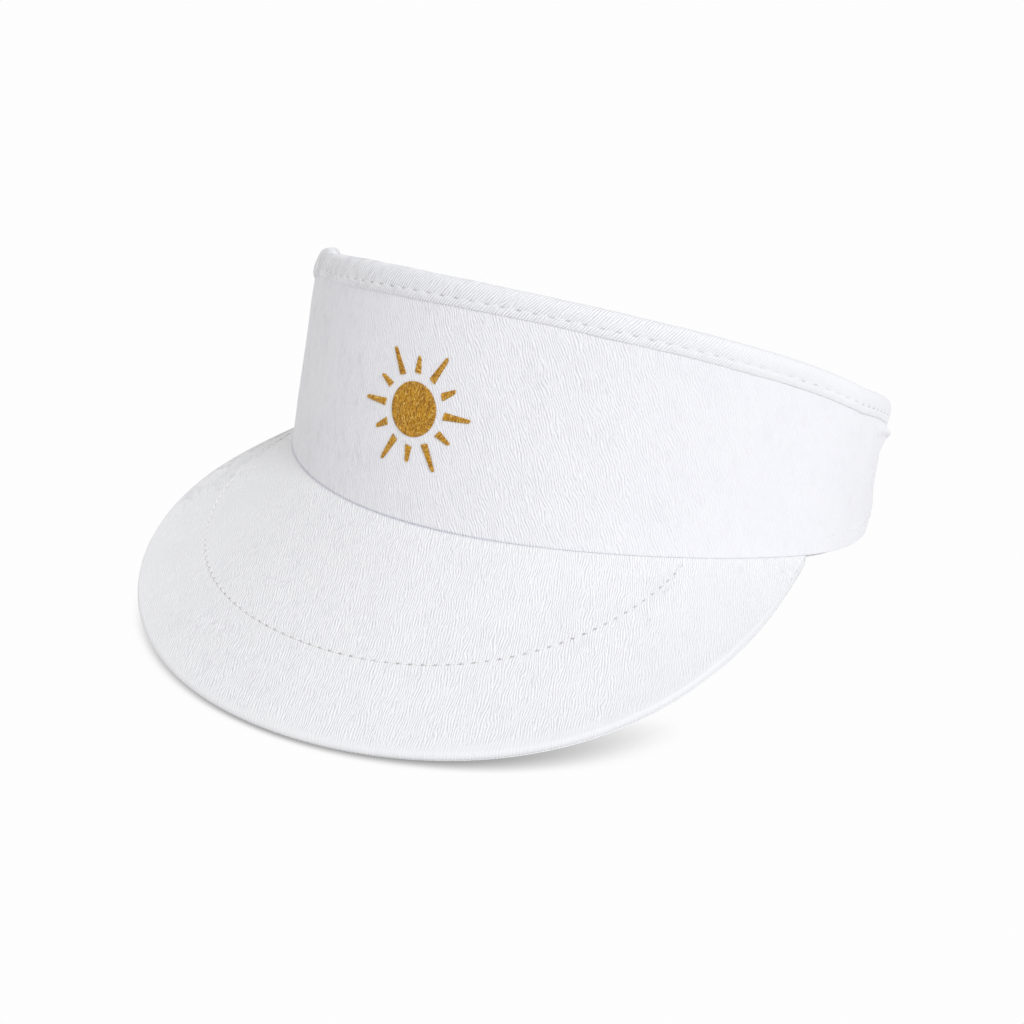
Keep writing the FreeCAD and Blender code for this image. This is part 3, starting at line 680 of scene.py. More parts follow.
def shell_relief(arc, z, theta):
    """Relief of the outer face, slow unevenness of the whole sheet, and the ridge value that carries
    the painted shade and highlight.
    """
    slant = 0.50
    length = math.hypot(1, slant)
    ridges = crepe((arc + slant * z) / length, (z - slant * arc) / length, seed=11)
    above = z - bottom(theta)
    below = (top(theta) - 7.5 - row_drop(theta)) - z
    slow = 0.16 * noise(arc / 34.0, z / 26.0, seed=31) + 0.07 * noise(arc / 11.0, z / 16.0, seed=32)
    slow = slow * np.clip(below / 9.0, 0, 1) * np.clip(above / 5.0, 0.15, 1)
    # gathers along the top and bottom seams
    top_phase = TURN * arc / BIND_PITCH + 1.3 * noise(arc / 9.0, 0.0, seed=33)
    top_gather = np.exp(-np.clip(below, 0, 99) / 3.2) * 0.07 * np.cos(top_phase)
    top_gather = top_gather - 0.05 * bell(below - 0.3, 1.6)
    low_phase = TURN * arc / 3.3 + 2.0 * noise(arc / 7.0, 0.0, seed=34)
    low_gather = np.exp(-np.clip(above, 0, 99) / 2.6) * 0.05 * np.sin(low_phase)
    free = np.clip(np.clip(below / 6.0, 0, 1) + 0.4, 0, 1)
    relief = 0.105 * ridges * np.clip(above / 0.6, 0.3, 1) + top_gather * free + low_gather
    return relief, slow, 0.5 + 0.5 * np.clip(ridges, -1, 1) * ridge_shading_weight(theta)


def lining_relief(arc, z):
    return 0.05 * noise(arc / 6.0, z / 9.0, seed=41) + 0.03 * noise(arc / 1.7, z / 5.0, seed=42)


def felt_relief(arc, z):
    return 0.03 * noise(arc / 3.0, z / 3.0, seed=43)


def sheet(name, material, half_span, step, outer, inner, low_gap, top_gap, rows, back_rows,
          edge, outer_relief=None, inner_relief=None):
    """Cloth sheet between two insets, with rounded top and bottom edges."""
    theta = even_angles(-half_span, half_span, step)[:, None]
    low, high = bottom(theta) + low_gap, top(theta) - top_gap
    mid = (outer + inner) / 2
    outer_bevel, inner_bevel = outer * 0.8 + mid * 0.2, inner * 0.8 + mid * 0.2

    def heights(start, end, count):
        return low + edge * 0.7 + (high - low - edge * 1.4) * np.linspace(start, end, count)

    inset = np.array([outer] * rows + [outer_bevel, mid, inner_bevel]
                     + [inner] * back_rows + [inner_bevel, mid, outer_bevel])
    bevel = edge * 0.25
    z = np.concatenate([heights(0, 1, rows), high - bevel, high, high - bevel,
                        heights(1, 0, back_rows), low + bevel, low, low + bevel], 1)
    arc = arc_at(theta)
    column = np.arange(len(inset))
    is_outer = (column < rows).astype(float)
    is_inner = ((column >= rows + 3) & (column < rows + 3 + back_rows)).astype(float)
    attributes = {"ridge": 0.5, "tex": 0.0, "dark": 0.0}
    if outer_relief:
        relief, slow, ridge = outer_relief(arc, z, theta)
        inset = inset - slow - relief * is_outer
        # Painted ridge shade and highlight, and painted shade along the seam, on the outer face
        attributes["ridge"] = np.where(is_outer > 0, ridge, 0.5)
        attributes["tex"] = ridge_shading_weight(theta) * is_outer
        attributes["seam"] = seam_shade(theta, z - bottom(theta)) * is_outer
    if inner_relief:
        inset = inset + inner_relief(arc, z) * is_inner
    return loop_mesh(name, on_band(theta, inset, z), material, (arc, z), attributes)


place(sheet("Band_Outer", SHELL_CREPE, BAND_END, 0.25, outer=0.0, inner=0.6,
            low_gap=0.0, top_gap=1.6, rows=142, back_rows=6, edge=0.3,
            outer_relief=shell_relief), "shell_fabric", "band_shell")
place(sheet("Band_Lining", LINING, BAND_END, 0.8, outer=2.1, inner=2.6, low_gap=0.0,
            top_gap=1.6, rows=12, back_rows=26, edge=0.3,
            inner_relief=lining_relief), "lining_fabric", "band_lining")
place(sheet("Band_Interlining", FELT, 95, 1.0, outer=0.94, inner=2.0, low_gap=1.2,
            top_gap=2.3, rows=14, back_rows=14, edge=0.4,
            inner_relief=felt_relief), "interlining", "band_interlining")


# -------------------------------------------------------------------------- binding
def smooth_loop(points, per_span):
    """Closed Catmull-Rom curve through 2-D points."""
    points = np.array(points, float)
    count = len(points)
    curve = []
    for i in range(count):
        before, start = points[i - 1], points[i]
        end, after = points[(i + 1) % count], points[(i + 2) % count]
        for k in range(per_span):
            t = k / per_span
            curve.append(0.5 * ((2 * start) + (-before + end) * t
                                + (2 * before - 5 * start + 4 * end - after) * t * t
                                + (-before + 3 * start - 3 * end + after) * t ** 3))
    return np.array(curve)


# Section of the top binding: (inset from the shell face, height from the band top)
BINDING_SECTION = [
    (0.0, -7.36), (-0.14, -7.42), (-0.34, -7.26), (-0.52, -6.86), (-0.68, -6.30),
    (-0.74, -5.72), (-0.66, -5.18), (-0.74, -4.66), (-0.84, -4.1), (-0.90, -3.2),
    (-0.84, -2.3), (-0.66, -1.50), (-0.32, -0.84), (0.16, -0.40), (0.80, -0.16),
    (1.6, -0.10), (2.35, -0.24), (2.95, -0.62), (3.36, -1.15), (3.60, -1.9),
    (3.66, -2.8), (3.58, -3.8), (3.36, -4.6), (3.16, -5.15), (3.34, -5.7),
    (3.42, -6.3), (3.34, -6.9), (3.08, -7.22), (2.80, -7.22), (2.66, -6.9),
    (2.66, -4.6), (2.66, -1.85), (2.3, -1.54), (1.3, -1.52), (0.3, -1.54),
    (-0.04, -1.85), (-0.04, -4.6), (0.0, -7.0)]
BINDING_OVERHANG = 0.9           # past each end of the band


def section_normals(section, exposed):
    """Outward normals of the section, zero on its hidden faces."""
    delta = np.roll(section, -1, 0) - np.roll(section, 1, 0)
    normal = np.stack([delta[:, 1], -delta[:, 0]], 1)
    normal /= np.linalg.norm(normal, axis=1, keepdims=True)
    sign = np.sign(((section - np.array([1.3, -4.5])) * normal).sum(1))
    return normal * np.where(exposed, sign, 0)[:, None]


def build_binding():
    section = smooth_loop(BINDING_SECTION, 3)
    inset, z = section.T
    lengths = np.hypot(*(np.roll(section, -1, 0) - section).T)
    girth = np.concatenate([[0], np.cumsum(lengths)[:-1]])
    over = math.degrees(BINDING_OVERHANG / BAND_R)
    theta = even_angles(-BAND_END - over, BAND_END + over, 0.2)[:, None]
    deg, arc = np.degrees(theta), arc_at(theta)
    exposed = (inset < -0.1) | (inset > 2.75) | (z > -1.55)
    normal = section_normals(section, exposed)

    # diagonal ribs
    rib = np.sin(TURN * (arc - 0.80 * girth + 0.22 * noise(arc / 3.0, girth / 3.0, seed=51)) / 0.88)
    rib = (rib * (0.72 + 0.45 * noise(arc / 1.3, girth / 1.1, seed=52))
           + 0.25 * noise(arc / 0.5, girth / 0.5, seed=56))
    relief = 0.045 * rib * (1 - 0.75 * fade(deg, 60, 86))
    # puffs between needle holes, then slow unevenness
    relief = relief + 0.055 * np.cos(TURN * arc / BIND_PITCH + np.pi) * bell(z + BIND_ROW, 1.25)
    relief = (relief + 0.10 * noise(arc / 13.0, girth / 6.0, seed=53)
              + 0.05 * noise(arc / 4.5, girth / 3.0, seed=54))
    # needle holes
    hole_x = arc - np.round(arc / BIND_PITCH) * BIND_PITCH
    hole_z = z + BIND_ROW
    relief = relief - 0.16 * bell(hole_x, 0.62) * bell(hole_z, 0.24)
    # Painted shade in the needle holes: weaker towards -x and from the front round to +x, stronger
    # again near the +x end
    far = fade(deg, 12, 57)
    spot = np.exp(-((hole_x / (0.80 + 0.45 * far)) ** 2 + (hole_z / 0.22) ** 2) ** 1.4)
    dark = ((1 - 0.45 * fade(deg, -12, -26)) * spot * (inset < 1.3)
            * (0.62 - 0.36 * far + 0.34 * fade(deg, 72, 94) + 0.24 * noise(arc / 7.0, 3.3, seed=55)))

    upper = fade(z, -5.0, -1.4)
    side = side_window(theta)
    inset = inset + normal[:, 0] * relief + 1.15 * side * upper
    z = (z + normal[:, 1] * relief - row_drop(theta) * (1 - upper)
         + 1.9 * side * upper + end_rise(theta))
    # closed, rounded ends
    pinch = np.clip((END_ARC + BINDING_OVERHANG - np.abs(arc)) / 1.3, 0, 1)
    pinch = np.sqrt(1 - (1 - pinch) ** 2)
    inset = 1.3 + (inset - 1.3) * (0.03 + 0.97 * pinch)
    z = -4.0 + (z + 4.0) * (0.86 + 0.14 * pinch)
    # Painted shade and highlight on the diagonal ribs, full up to 30 degrees and fading towards +x,
    # where the key light falls square
    tex = (0.04 + 0.22 * fade(deg, 86, 72) + 0.74 * fade(deg, 64, 30)) * exposed
    ridge = 0.5 + 0.5 * np.clip(rib, -1, 1) * tex
    return loop_mesh("Top_Binding", on_band(theta, inset, top(theta) + z), BIAS_TWILL,
                     (arc, girth), {"ridge": ridge, "tex": tex, "dark": dark})


def band_stitches(start, end, pitch, inset, height, gap, points, rise, power=0.45, side=1):
    """Threads between needle holes at multiples of pitch; side is -1 on the inner face.

    inset: of the thread's ends; height: function of theta; gap: from hole to thread."""
    first = np.arange(math.ceil(start / pitch), math.floor(end / pitch))[:, None]
    u = np.linspace(0, 1, points)
    theta = angle_at((first * pitch + gap) + (pitch - 2 * gap) * u)
    lift = rise * np.sin(np.pi * u) ** power
    return on_band(theta, inset - side * lift, height(theta)), side * outward(theta)


def binding_row(theta):
    return top(theta) - BIND_ROW - row_drop(theta) + end_rise(theta)


place(build_binding(), "binding_fabric", "top_binding")
sew("Binding_Stitches",
    join(*(band_stitches(-END_ARC + 0.6, END_ARC - 0.6, BIND_PITCH, inset, binding_row,
                         gap=0.62, points=11, rise=0.46, side=side)
           for inset, side in ((-0.16, 1), (2.86, -1)))),
    0.20, "binding_stitching", sides=8, ply=0.10, turns=3.0)


# ------------------------------------------------------------------------ sweatband
SWEAT_TOP_ROW, SWEAT_LOW_ROW = 1.6, 0.6  # stitch rows: below its top, above the band bottom


def sweat_top(theta):
    return bottom(theta) + 22.0 + 8.5 * np.cos(theta)


def build_sweatband():
    theta = even_angles(-BAND_END + 2.5, BAND_END - 2.5, 0.45)[:, None]
    low, high = bottom(theta) - 1.5, sweat_top(theta)
    f = np.linspace(0, 1, 72)
    # rolled edge: insets, and heights past the edge
    roll_inset = np.array([2.78, 2.95, 3.35, 3.8, 4.15])
    roll_z = np.array([-0.9, -0.2, 0.25, 0.25, -0.05])
    inner_face = 4.35 + 0.35 * np.sin(np.pi * f) ** 0.6
    inset = np.concatenate([[2.75, 2.75], roll_inset, inner_face, roll_inset[::-1]])
    z = np.concatenate([low + 2.0, high - 2.0, high + roll_z,
                        high - 0.5 + (low - high + 1.0) * f, low - roll_z[::-1]], 1)
    arc = arc_at(theta)
    shown = np.zeros(len(inset))
    shown[4:-2] = 1
    loops = (np.abs(noise(arc / 0.85, z / 0.85, seed=61)) * 0.7
             + np.abs(noise(arc / 0.5 + 9, z / 0.55, seed=62)) * 0.45)
    rows = (bell(z - (high - SWEAT_TOP_ROW), 0.5)
            + bell(z - (bottom(theta) + SWEAT_LOW_ROW), 0.5))
    inset = inset + shown * (0.24 * loops - 0.26 * np.clip(rows, 0, 1)
                             + 0.12 * noise(arc / 17.0, z / 12.0, seed=63))
    return loop_mesh("Sweatband", on_band(theta, inset, z), TERRY, (arc, z))


def sweat_stitches():
    end = arc_deg(BAND_END - 4)
    rows = ((4.30, lambda theta: bottom(theta) + SWEAT_LOW_ROW),
            (4.36, lambda theta: sweat_top(theta) - SWEAT_TOP_ROW))
    return join(*(band_stitches(-end, end, 3.4, inset, height, gap=0.4, points=7, rise=0.34,
                                side=-1) for inset, height in rows))


place(build_sweatband(), "terry", "sweatband")
sew("Sweatband_Stitches", sweat_stitches(), 0.19, "sweatband_stitching")


# ----------------------------------------------------------------------------- brim
# A place on the brim is (across, out, depth): across runs -1 to 1 from corner to corner,
# out is mm from the root and depth is mm below the top face.
def brim_frame(across):
    """Root point, outward direction and upward normal."""
    theta = across * BRIM_HALF
    nx, ny = ring_normal(theta)
    fx, fy = nx * (1 - FORWARD), ny * (1 - FORWARD) - FORWARD
    length = np.hypot(fx, fy)
    fx, fy = fx / length, fy / length
    pitch = np.radians(PITCH_MID + PITCH_DROP * across * across)
    c, s = np.cos(pitch), np.sin(pitch)
    x, y = ring(theta)
    root = np.stack([x, y, bottom(theta) - 0.10], -1)
    return root, np.stack([fx * c, fy * c, -s], -1), np.stack([fx * s, fy * s, c], -1)


def brim_reach(across):
    """Distance from root to rim."""
    return BRIM_LENGTH * np.maximum(1 - np.abs(across) ** OUTLINE_POWER, 0) ** OUTLINE_ROUND


def brim_point(across, out, depth):
    root, along, up = brim_frame(across)
    q = out / BRIM_LENGTH
    arch = BRIM_SAG * 4 * q * (1 - q)
    return root + along * out[..., None] + up * (arch - depth)[..., None]


def end_dense(count):
    """Values from -1 to 1, crowded towards both ends."""
    v = np.linspace(-1, 1, count)
    return np.sign(v) * (1 - (1 - np.abs(v)) ** 2.5)


def brim_columns(step):
    """Values of across, evenly spaced along the rim."""
    across = end_dense(8001) * 0.99999
    length = path_length(brim_point(across, brim_reach(across), 0.0))
    return np.interp(np.linspace(0, length[-1], int(length[-1] / step)), length, across)


# Contour stitch row
ROW_PITCH = 3.4
ROW_MARGIN = 2.5                 # bare length at each end
_u = end_dense(4801) * 0.99999
ROW_ACROSS = -0.06 + np.where(_u < 0, 0.79, 0.715) * _u
ROW_OUT = 45.4 * np.maximum(1 - np.abs(_u) ** 3.2, 0) ** 0.55
ROW_POINTS = brim_point(ROW_ACROSS, ROW_OUT, 0.0)
ROW_DIST = path_length(ROW_POINTS)
ROW_END = ROW_DIST[-1]
ROW_SEWN = ROW_END - 2 * ROW_MARGIN
ROW_COUNT = int(ROW_SEWN / ROW_PITCH)
HOLE_DIST = (ROW_MARGIN + (ROW_SEWN - ROW_COUNT * ROW_PITCH) / 2
             + np.arange(ROW_COUNT + 1) * ROW_PITCH)


def row_point(distance):
    return np.stack([np.interp(distance, ROW_DIST, ROW_POINTS[:, i]) for i in range(3)], -1)


HOLE_POINTS = row_point(HOLE_DIST)
HOLE_ALONG = row_point(HOLE_DIST + 0.3) - row_point(HOLE_DIST - 0.3)
HOLE_ALONG /= np.linalg.norm(HOLE_ALONG, axis=1, keepdims=True)


def brim_uv(points):
    """Cloth coordinates: u across the crepe ridges, which bow slightly, and v along them."""
    x, y = points[..., 0], points[..., 1] / 0.76
    k = y + 120
    return (x + 0.44 * k + 0.0013 * k * k) / 1.09, (k - 0.44 * x) / 1.09


def brim_normals(points, across, column):
    """Grid normals of closed profiles, turned to face up at one column."""
    along = np.roll(points, -1, 1) - np.roll(points, 1, 1)
    normal = unit(np.cross(np.gradient(points, axis=0), along))
    up = brim_frame(across)[2]
    return normal * np.sign((normal[:, column] * up).sum(-1)).mean()


def thinning(reach):
    """The brim thins where it is short, at the corners."""
    return 0.35 + 0.65 * np.minimum(1.0, reach / 4.5)


def hole_marks(points, row_dist, columns):
    """1 at the needle holes of the contour row; only the given columns are searched."""
    nearest = np.round((row_dist[:, 0] - HOLE_DIST[0]) / ROW_PITCH).astype(int)
    nearest = np.clip(nearest, 0, ROW_COUNT)
    distance = np.full(points.shape[:2], 9.0)
    for shift in (-1, 0, 1):
        hole = np.clip(nearest + shift, 0, ROW_COUNT)
        offset = points[:, columns] - HOLE_POINTS[hole][:, None]
        along = (offset * HOLE_ALONG[hole][:, None]).sum(-1)
        aside = np.sqrt(np.maximum((offset ** 2).sum(-1) - along ** 2, 0))
        distance[:, columns] = np.minimum(distance[:, columns],
                                          np.hypot(along / 0.66, aside / 0.22))
    return np.exp(-distance ** 2)


# Tucked edge of the top cover: (rim radii in from the rim, depth)
TUCK_IN, TUCK_DEPTH = np.array([(0.72, 2.22), (0.60, 1.7), (0.75, 1.0), (1.2, 0.66)]).T


def brim_top_profile(reach, row, counts):
    """out and depth of each profile: top face, rounded rim, tuck and hidden face."""
    before, over, after = [np.linspace(0, 1, n, endpoint=False) for n in counts]
    half = np.minimum(1.1, 0.5 * row)
    rim = np.minimum(1.35, 0.30 * reach)
    phase = np.radians(np.linspace(0, 158, 15))
    thin = thinning(reach)
    face = np.concatenate([(row - half) * before, row - half + 2 * half * over,
                           row + half + (reach - rim - row - half) * after], 1)
    out = np.concatenate([face, reach - rim + rim * np.sin(phase), reach - rim * TUCK_IN,
                          0.85 * (reach - rim), 0.5 * reach, 0.15 * reach, 0 * reach], 1)
    depth = np.concatenate([0 * face, (1.30 - 1.30 * np.cos(phase)) * thin, TUCK_DEPTH * thin,
                            np.full((len(reach), 4), 0.62)], 1)
    return out, depth, face.shape[1] + len(phase)


def build_brim_top():
    columns = brim_columns(0.27)
    across = columns[:, None]
    theta = across * BRIM_HALF
    reach = np.maximum(brim_reach(across), 0.8)
    on_row = (columns < ROW_ACROSS.max()) & (columns > ROW_ACROSS.min())
    row = np.where(on_row, np.interp(columns, ROW_ACROSS, ROW_OUT), 0.0)[:, None]
    row = np.clip(row, 0.03 * reach, reach - 4.5 * np.clip(reach / 12, 0.1, 1))
    counts = ((150, 13, 95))   # before, over and after the row
    out, depth, top_count = brim_top_profile(reach, row, counts)
    points = brim_point(across, out, depth)
    u, v = brim_uv(points)
    shown = (np.arange(out.shape[1]) < top_count).astype(float)

    ridges = crepe(u, v, seed=71)
    slow = 0.20 * noise(u / 31.0, v / 37.0, seed=81) + 0.08 * noise(u / 9.0, v / 14.0, seed=82)
    rim_fade = np.clip((reach - out) / 4.0, 0.0, 1)
    relief = (0.105 * ridges * (0.60 + 0.40 * rim_fade) * np.clip(out / 0.5, 0.2, 1)
              + slow * rim_fade * np.clip(out / 2.5, 0.0, 1))
    # contour row: a shallow channel, needle holes, and puffs between them
    row_dist = np.interp(across, ROW_ACROSS, ROW_DIST)
    sewn = on_row[:, None] * fade(np.minimum(row_dist, ROW_END - row_dist), 1.5, 5.0)
    channel = bell(out - row, 0.55) * sewn
    hole = hole_marks(points, row_dist, slice(counts[0] - 2, counts[0] + counts[1] + 3)) * sewn
    puff = (0.05 * np.cos(TURN * (row_dist - HOLE_DIST[0]) / ROW_PITCH + np.pi)
            * np.exp(-(np.abs(out - row) / 1.6) ** 1.3) * sewn)
    relief = relief * (1 - 0.6 * channel) - 0.06 * channel - 0.18 * hole + puff
    # gathers where the brim enters the band seam
    phase = TURN * arc_at(theta) / 3.1 + 2 * noise(across * 40, 0.0, seed=83)
    relief = relief + 0.10 * np.exp(-out / 1.6) * np.sin(phase) * np.clip(out / 0.4, 0, 1)
    normal = brim_normals(points, columns, counts[0] // 2)
    points = points + normal * (relief * shown)[..., None]

    # Painted shade and highlight on the brim's ridges: weak at the -x corner, halved at the +x
    # corner, and eased off near the rim
    weight = (0.12 + 0.80 * fade(across, -0.64, -0.12)) * (1 - 0.50 * fade(across, 0.60, 0.78))
    from_rim = reach - out - 2.2 * fade(across, 0.25, 0.55)
    tex = weight * shown * (0.20 + 0.80 * fade(from_rim, 0.8, 3.0))
    ridge = 0.5 + 0.5 * np.clip(ridges, -1, 1) * tex
    # Painted shade in the needle holes of the contour row, weaker towards -x
    dark = (np.clip(hole * 1.35, 0, 1) * shown * (0.55 + 0.45 * fade(across, -0.62, -0.32))
            * (0.80 + 0.25 * noise(across * 30, 0.0, seed=85)))
    # one more column carries the cover in under the band
    points[..., 2] += 0.11 * np.exp(-np.maximum(out, 0) / 0.8) * shown
    under_band = points[:, :1] - 0.8 * outward(theta)
    points = np.concatenate([under_band, points], 1)

    def pad(values):
        return np.concatenate([values[:, :1], values], 1)

    attributes = {"ridge": ridge, "tex": tex, "dark": dark,
                  "seam": seam_shade(theta, out) * shown}
    return loop_mesh("Brim_Top_Cover", points, BRIM_CREPE, (pad(u), pad(v)),
                     {key: pad(values) for key, values in attributes.items()})


def build_brim_under():
    columns = brim_columns(0.5)
    across = columns[:, None]
    reach = np.maximum(brim_reach(across), 0.8)
    rim = np.minimum(0.9, 0.22 * reach)
    thin = thinning(reach)
    rows = 130
    lower = (reach - rim * 1.15) * np.linspace(0, 1, rows)
    phase = np.radians(np.linspace(15, 165, 9))
    hidden = (reach - rim * 1.2) * np.linspace(1, 0, 8)
    out = np.concatenate([lower, reach - rim * 1.15 + rim * 0.75 * np.sin(phase), hidden], 1)
    depth = np.concatenate([2.93 * thin + 0 * lower, (2.66 + 0.27 * np.cos(phase)) * thin,
                            2.40 * thin + 0 * hidden], 1)
    points = brim_point(across, out, depth)
    u, v = brim_uv(points)
    ridges = crepe(u + 40, v + 17, seed=91)
    shown = (np.arange(out.shape[1]) < rows + 6).astype(float)
    slow = 0.10 * noise(u / 27.0, v / 31.0, seed=92) * np.clip((reach - out) / 5, 0, 1)
    relief = (0.06 * ridges + slow) * shown
    points = points - brim_normals(points, columns, rows // 2) * relief[..., None]
    # Painted shade and highlight on the underside's ridges
    ridge = 0.5 + 0.3 * np.clip(ridges, -1, 1) * shown
    return loop_mesh("Brim_Under_Cover", points, BRIM_CREPE, (u, v),
                     {"ridge": ridge, "tex": 0.6 * shown, "dark": 0.0})


def brim_stitches():
    u = np.linspace(0, 1, 9)
    gap = 0.42
    distance = HOLE_DIST[:-1, None] + gap + (ROW_PITCH - 2 * gap) * u
    up = brim_frame(np.interp(distance, ROW_DIST, ROW_ACROSS))[2]
    lift = -0.20 + 0.27 * np.sin(np.pi * u) ** 0.5
    return row_point(distance) + up * lift[None, :, None], up


place(build_brim_top(), "shell_fabric", "brim_top_cover")
place(build_brim_under(), "shell_fabric", "brim_under_cover")
place(tubes("Brim_Stitches", brim_stitches(), 0.165, BRIM_THREAD, sides=8, ply=0.10, turns=3.0),
      "brim_thread", "brim_stitching")

# ------------------------------------------------------------------------ band ends
HEM_NEAR, HEM_FAR = arc_deg(82), arc_deg(BAND_END - 2.5)
sew("Hem_Stitches",
    join(*(band_stitches(start, end, 3.1, 0.14, lambda theta: 5.0, gap=0.45, points=9, rise=0.20)
           for start, end in ((HEM_NEAR, HEM_FAR), (-HEM_FAR, -HEM_NEAR)))),
    0.13, "hem_stitching")

END_TOP = float(top(math.radians(BAND_END)))
ABOVE_STRAP = 25.7               # height just above the strap edge
FOLD_START, FOLD_END = END_ARC - 1.75, END_ARC + 0.25
# Sections of the strip over the raw end: (inset, arc from the front)
FOLD_OUTER = [
    (-0.02, FOLD_START), (-0.30, FOLD_START + 0.05), (-0.46, FOLD_START + 0.35),
    (-0.50, FOLD_START + 0.9), (-0.46, FOLD_END - 0.35), (-0.28, FOLD_END - 0.02),
    (0.10, FOLD_END + 0.14), (0.45, FOLD_END + 0.06), (0.62, FOLD_END - 0.20),
    (0.55, FOLD_END - 0.30), (0.10, FOLD_END - 0.16), (-0.06, FOLD_END - 0.35),
    (-0.06, FOLD_START + 0.3)]
FOLD_INNER = [
    (2.0, FOLD_END - 0.30), (2.1, FOLD_END + 0.06), (2.5, FOLD_END + 0.12),
    (2.92, FOLD_END - 0.05), (3.08, FOLD_END - 0.4), (3.10, FOLD_START + 0.9),
    (3.02, FOLD_START + 0.3), (2.86, FOLD_START + 0.05), (2.66, FOLD_START),
    (2.66, FOLD_START + 0.35), (2.66, FOLD_END - 0.45), (2.4, FOLD_END - 0.22)]


def build_end_fold(name, side):
    """Turned strips over the raw end of the band, outside and inside; side is +1 at +x."""
    rows = 90
    all_points, all_quads, all_uv, caps = [], [], [], []
    first = 0
    for outline, face in ((FOLD_OUTER, 1), (FOLD_INNER, -1)):
        inset, arc = smooth_loop(outline, 2).T
        z = (0.1 + (END_TOP - 4.9 - 0.1) * np.linspace(0, 1, rows))[:, None]
        wobble = (0.05 * noise(z / 2.3, 5.0, seed=95)
                  + 0.02 * np.sin(TURN * z / 0.75 + 3 * noise(z / 3, 0.0, seed=96)))
        pushed = inset + 0 * z
        if face == 1:
            # above the strap the outer strip's turned edge reaches further in
            reach_in = np.clip((inset - 0.05) / 0.5, 0, 1) * 1.75
            pushed = pushed + reach_in * fade(z, ABOVE_STRAP, ABOVE_STRAP + 0.8)
        pushed = pushed - face * wobble * (np.abs(inset - 1.3) > 1.3)
        all_points.append(on_band(angle_at(side * arc), pushed, z).reshape(-1, 3))
        quads, ends = loop_faces(rows, len(arc), first)
        all_quads.append(quads)
        caps += ends
        all_uv.append(np.stack(np.broadcast_arrays(arc, z), -1).reshape(-1, 2))
        first += rows * len(arc)
    points = np.concatenate(all_points)
    flat = {"ridge": np.full(len(points), 0.5), "dark": np.zeros(len(points))}
    return mesh_object(name, points, np.concatenate(all_quads), caps, TURNED_CREPE,
                       np.concatenate(all_uv), flat)


def bar_tacks():
    """A tack near the top and one near the bottom of each band end."""
    u = np.linspace(-1, 1, 7)
    lines = []
    for side in (1, -1):
        for middle, inset, count in ((END_TOP - 9.4, -0.55, 13), (1.6, -0.52, 7)):
            for i in range(count):
                z = middle + (i - (count - 1) / 2) * 0.30
                theta = angle_at(side * (END_ARC - 0.75) + 1.25 * u)
                lift = 0.22 * np.sqrt(np.clip(1 - u ** 2, 0, 1)) + 0.05 * (i % 2)
                lines.append((on_band(theta, inset - lift + 0.15, z + 0.05 * u), outward(theta)))
    return gather(lines)


def anchor_stitches():
    """Upright row that holds the loop strap near the band's +x end."""
    theta = angle_at(END_ARC - math.radians(3.6) * BAND_R)
    u = np.linspace(0, 1, 9)
    z = (6.55 + 2.9 * np.arange(7))[:, None] + 2.3 * u
    return on_band(theta, 0.06 - 0.26 * np.sin(np.pi * u) ** 0.5, z), outward(theta)


for fold_name, node, side in (("End_Fold_Left", "end_fold_left", 1),
                              ("End_Fold_Right", "end_fold_right", -1)):
    place(build_end_fold(fold_name, side), "shell_fabric", node)
sew("Bar_Tacks", bar_tacks(), 0.19, "bar_tacks")
sew("Strap_Anchor_Stitches", anchor_stitches(), 0.17, "strap_anchor_stitching")

# ------------------------------------------------------------------------ sun motif
MOTIF_Z = float(bottom(0.0) + (top(0.0) - bottom(0.0)) * 0.455)
DISC_R = 7.0
DISC_PITCH, BORDER_PITCH, RAY_PITCH = 0.33, 0.34, 0.31   # between threads
RAYS = 12
RAY_START = 10.4
RAY_ENDS = (18.4, 14.9)          # long and short rays in turn


def on_front(x, z, lift):
    """x: arc from the centre front; z: height from the motif's centre; lift: proud of the shell."""
    return on_band(angle_at(x), -lift, MOTIF_Z + z)


def turned(angle, radial, side):
    c, s = math.cos(angle), math.sin(angle)
    return radial * c - side * s, radial * s + side * c


def motif_disc():
    """Upright rows of satin stitches, then a satin border."""
    u = np.linspace(0, 1, 9)
    draw = np.random.RandomState(5)
    lines = []
    for i, x in enumerate(np.arange(-DISC_R + 0.2, DISC_R - 0.1, DISC_PITCH)):
        half = math.sqrt(max(DISC_R * DISC_R - x * x, 0.04))
        cuts = [-half]
        cut = -half + (1.3, 3.2, 2.1, 4.0)[i % 4] + draw.uniform(-0.3, 0.3)
        while cut < half - 1.0:
            cuts.append(cut)
            cut += 3.9 + draw.uniform(-0.3, 0.3)
        cuts.append(half)
        for low, high in zip(cuts[:-1], cuts[1:]):
            z = low + (high - low) * u
            xs = x + 0.16 * z / DISC_R + draw.uniform(-0.03, 0.03)
            dome = 0.32 * np.sqrt(np.clip(1 - (xs ** 2 + z ** 2) / (DISC_R + 0.5) ** 2, 0, 1))
            lift = 0.14 + dome + 0.10 * np.sin(np.pi * u) ** 0.5
            lines.append((on_front(xs, z, lift), outward(angle_at(xs))))
    count = int(2 * math.pi * DISC_R / BORDER_PITCH)
    for i in range(count):
        angle = 2 * math.pi * i / count + draw.uniform(-0.006, 0.006)
        radial = DISC_R - 0.75 + 1.5 * u
        x, z = turned(angle, radial, 0.16 * (u - 0.5))
        lift = 0.16 + 0.36 * np.sin(np.pi * u) ** 0.6
        lines.append((on_front(x, z, lift), outward(angle_at(radial * math.cos(angle)))))
    return gather(lines)


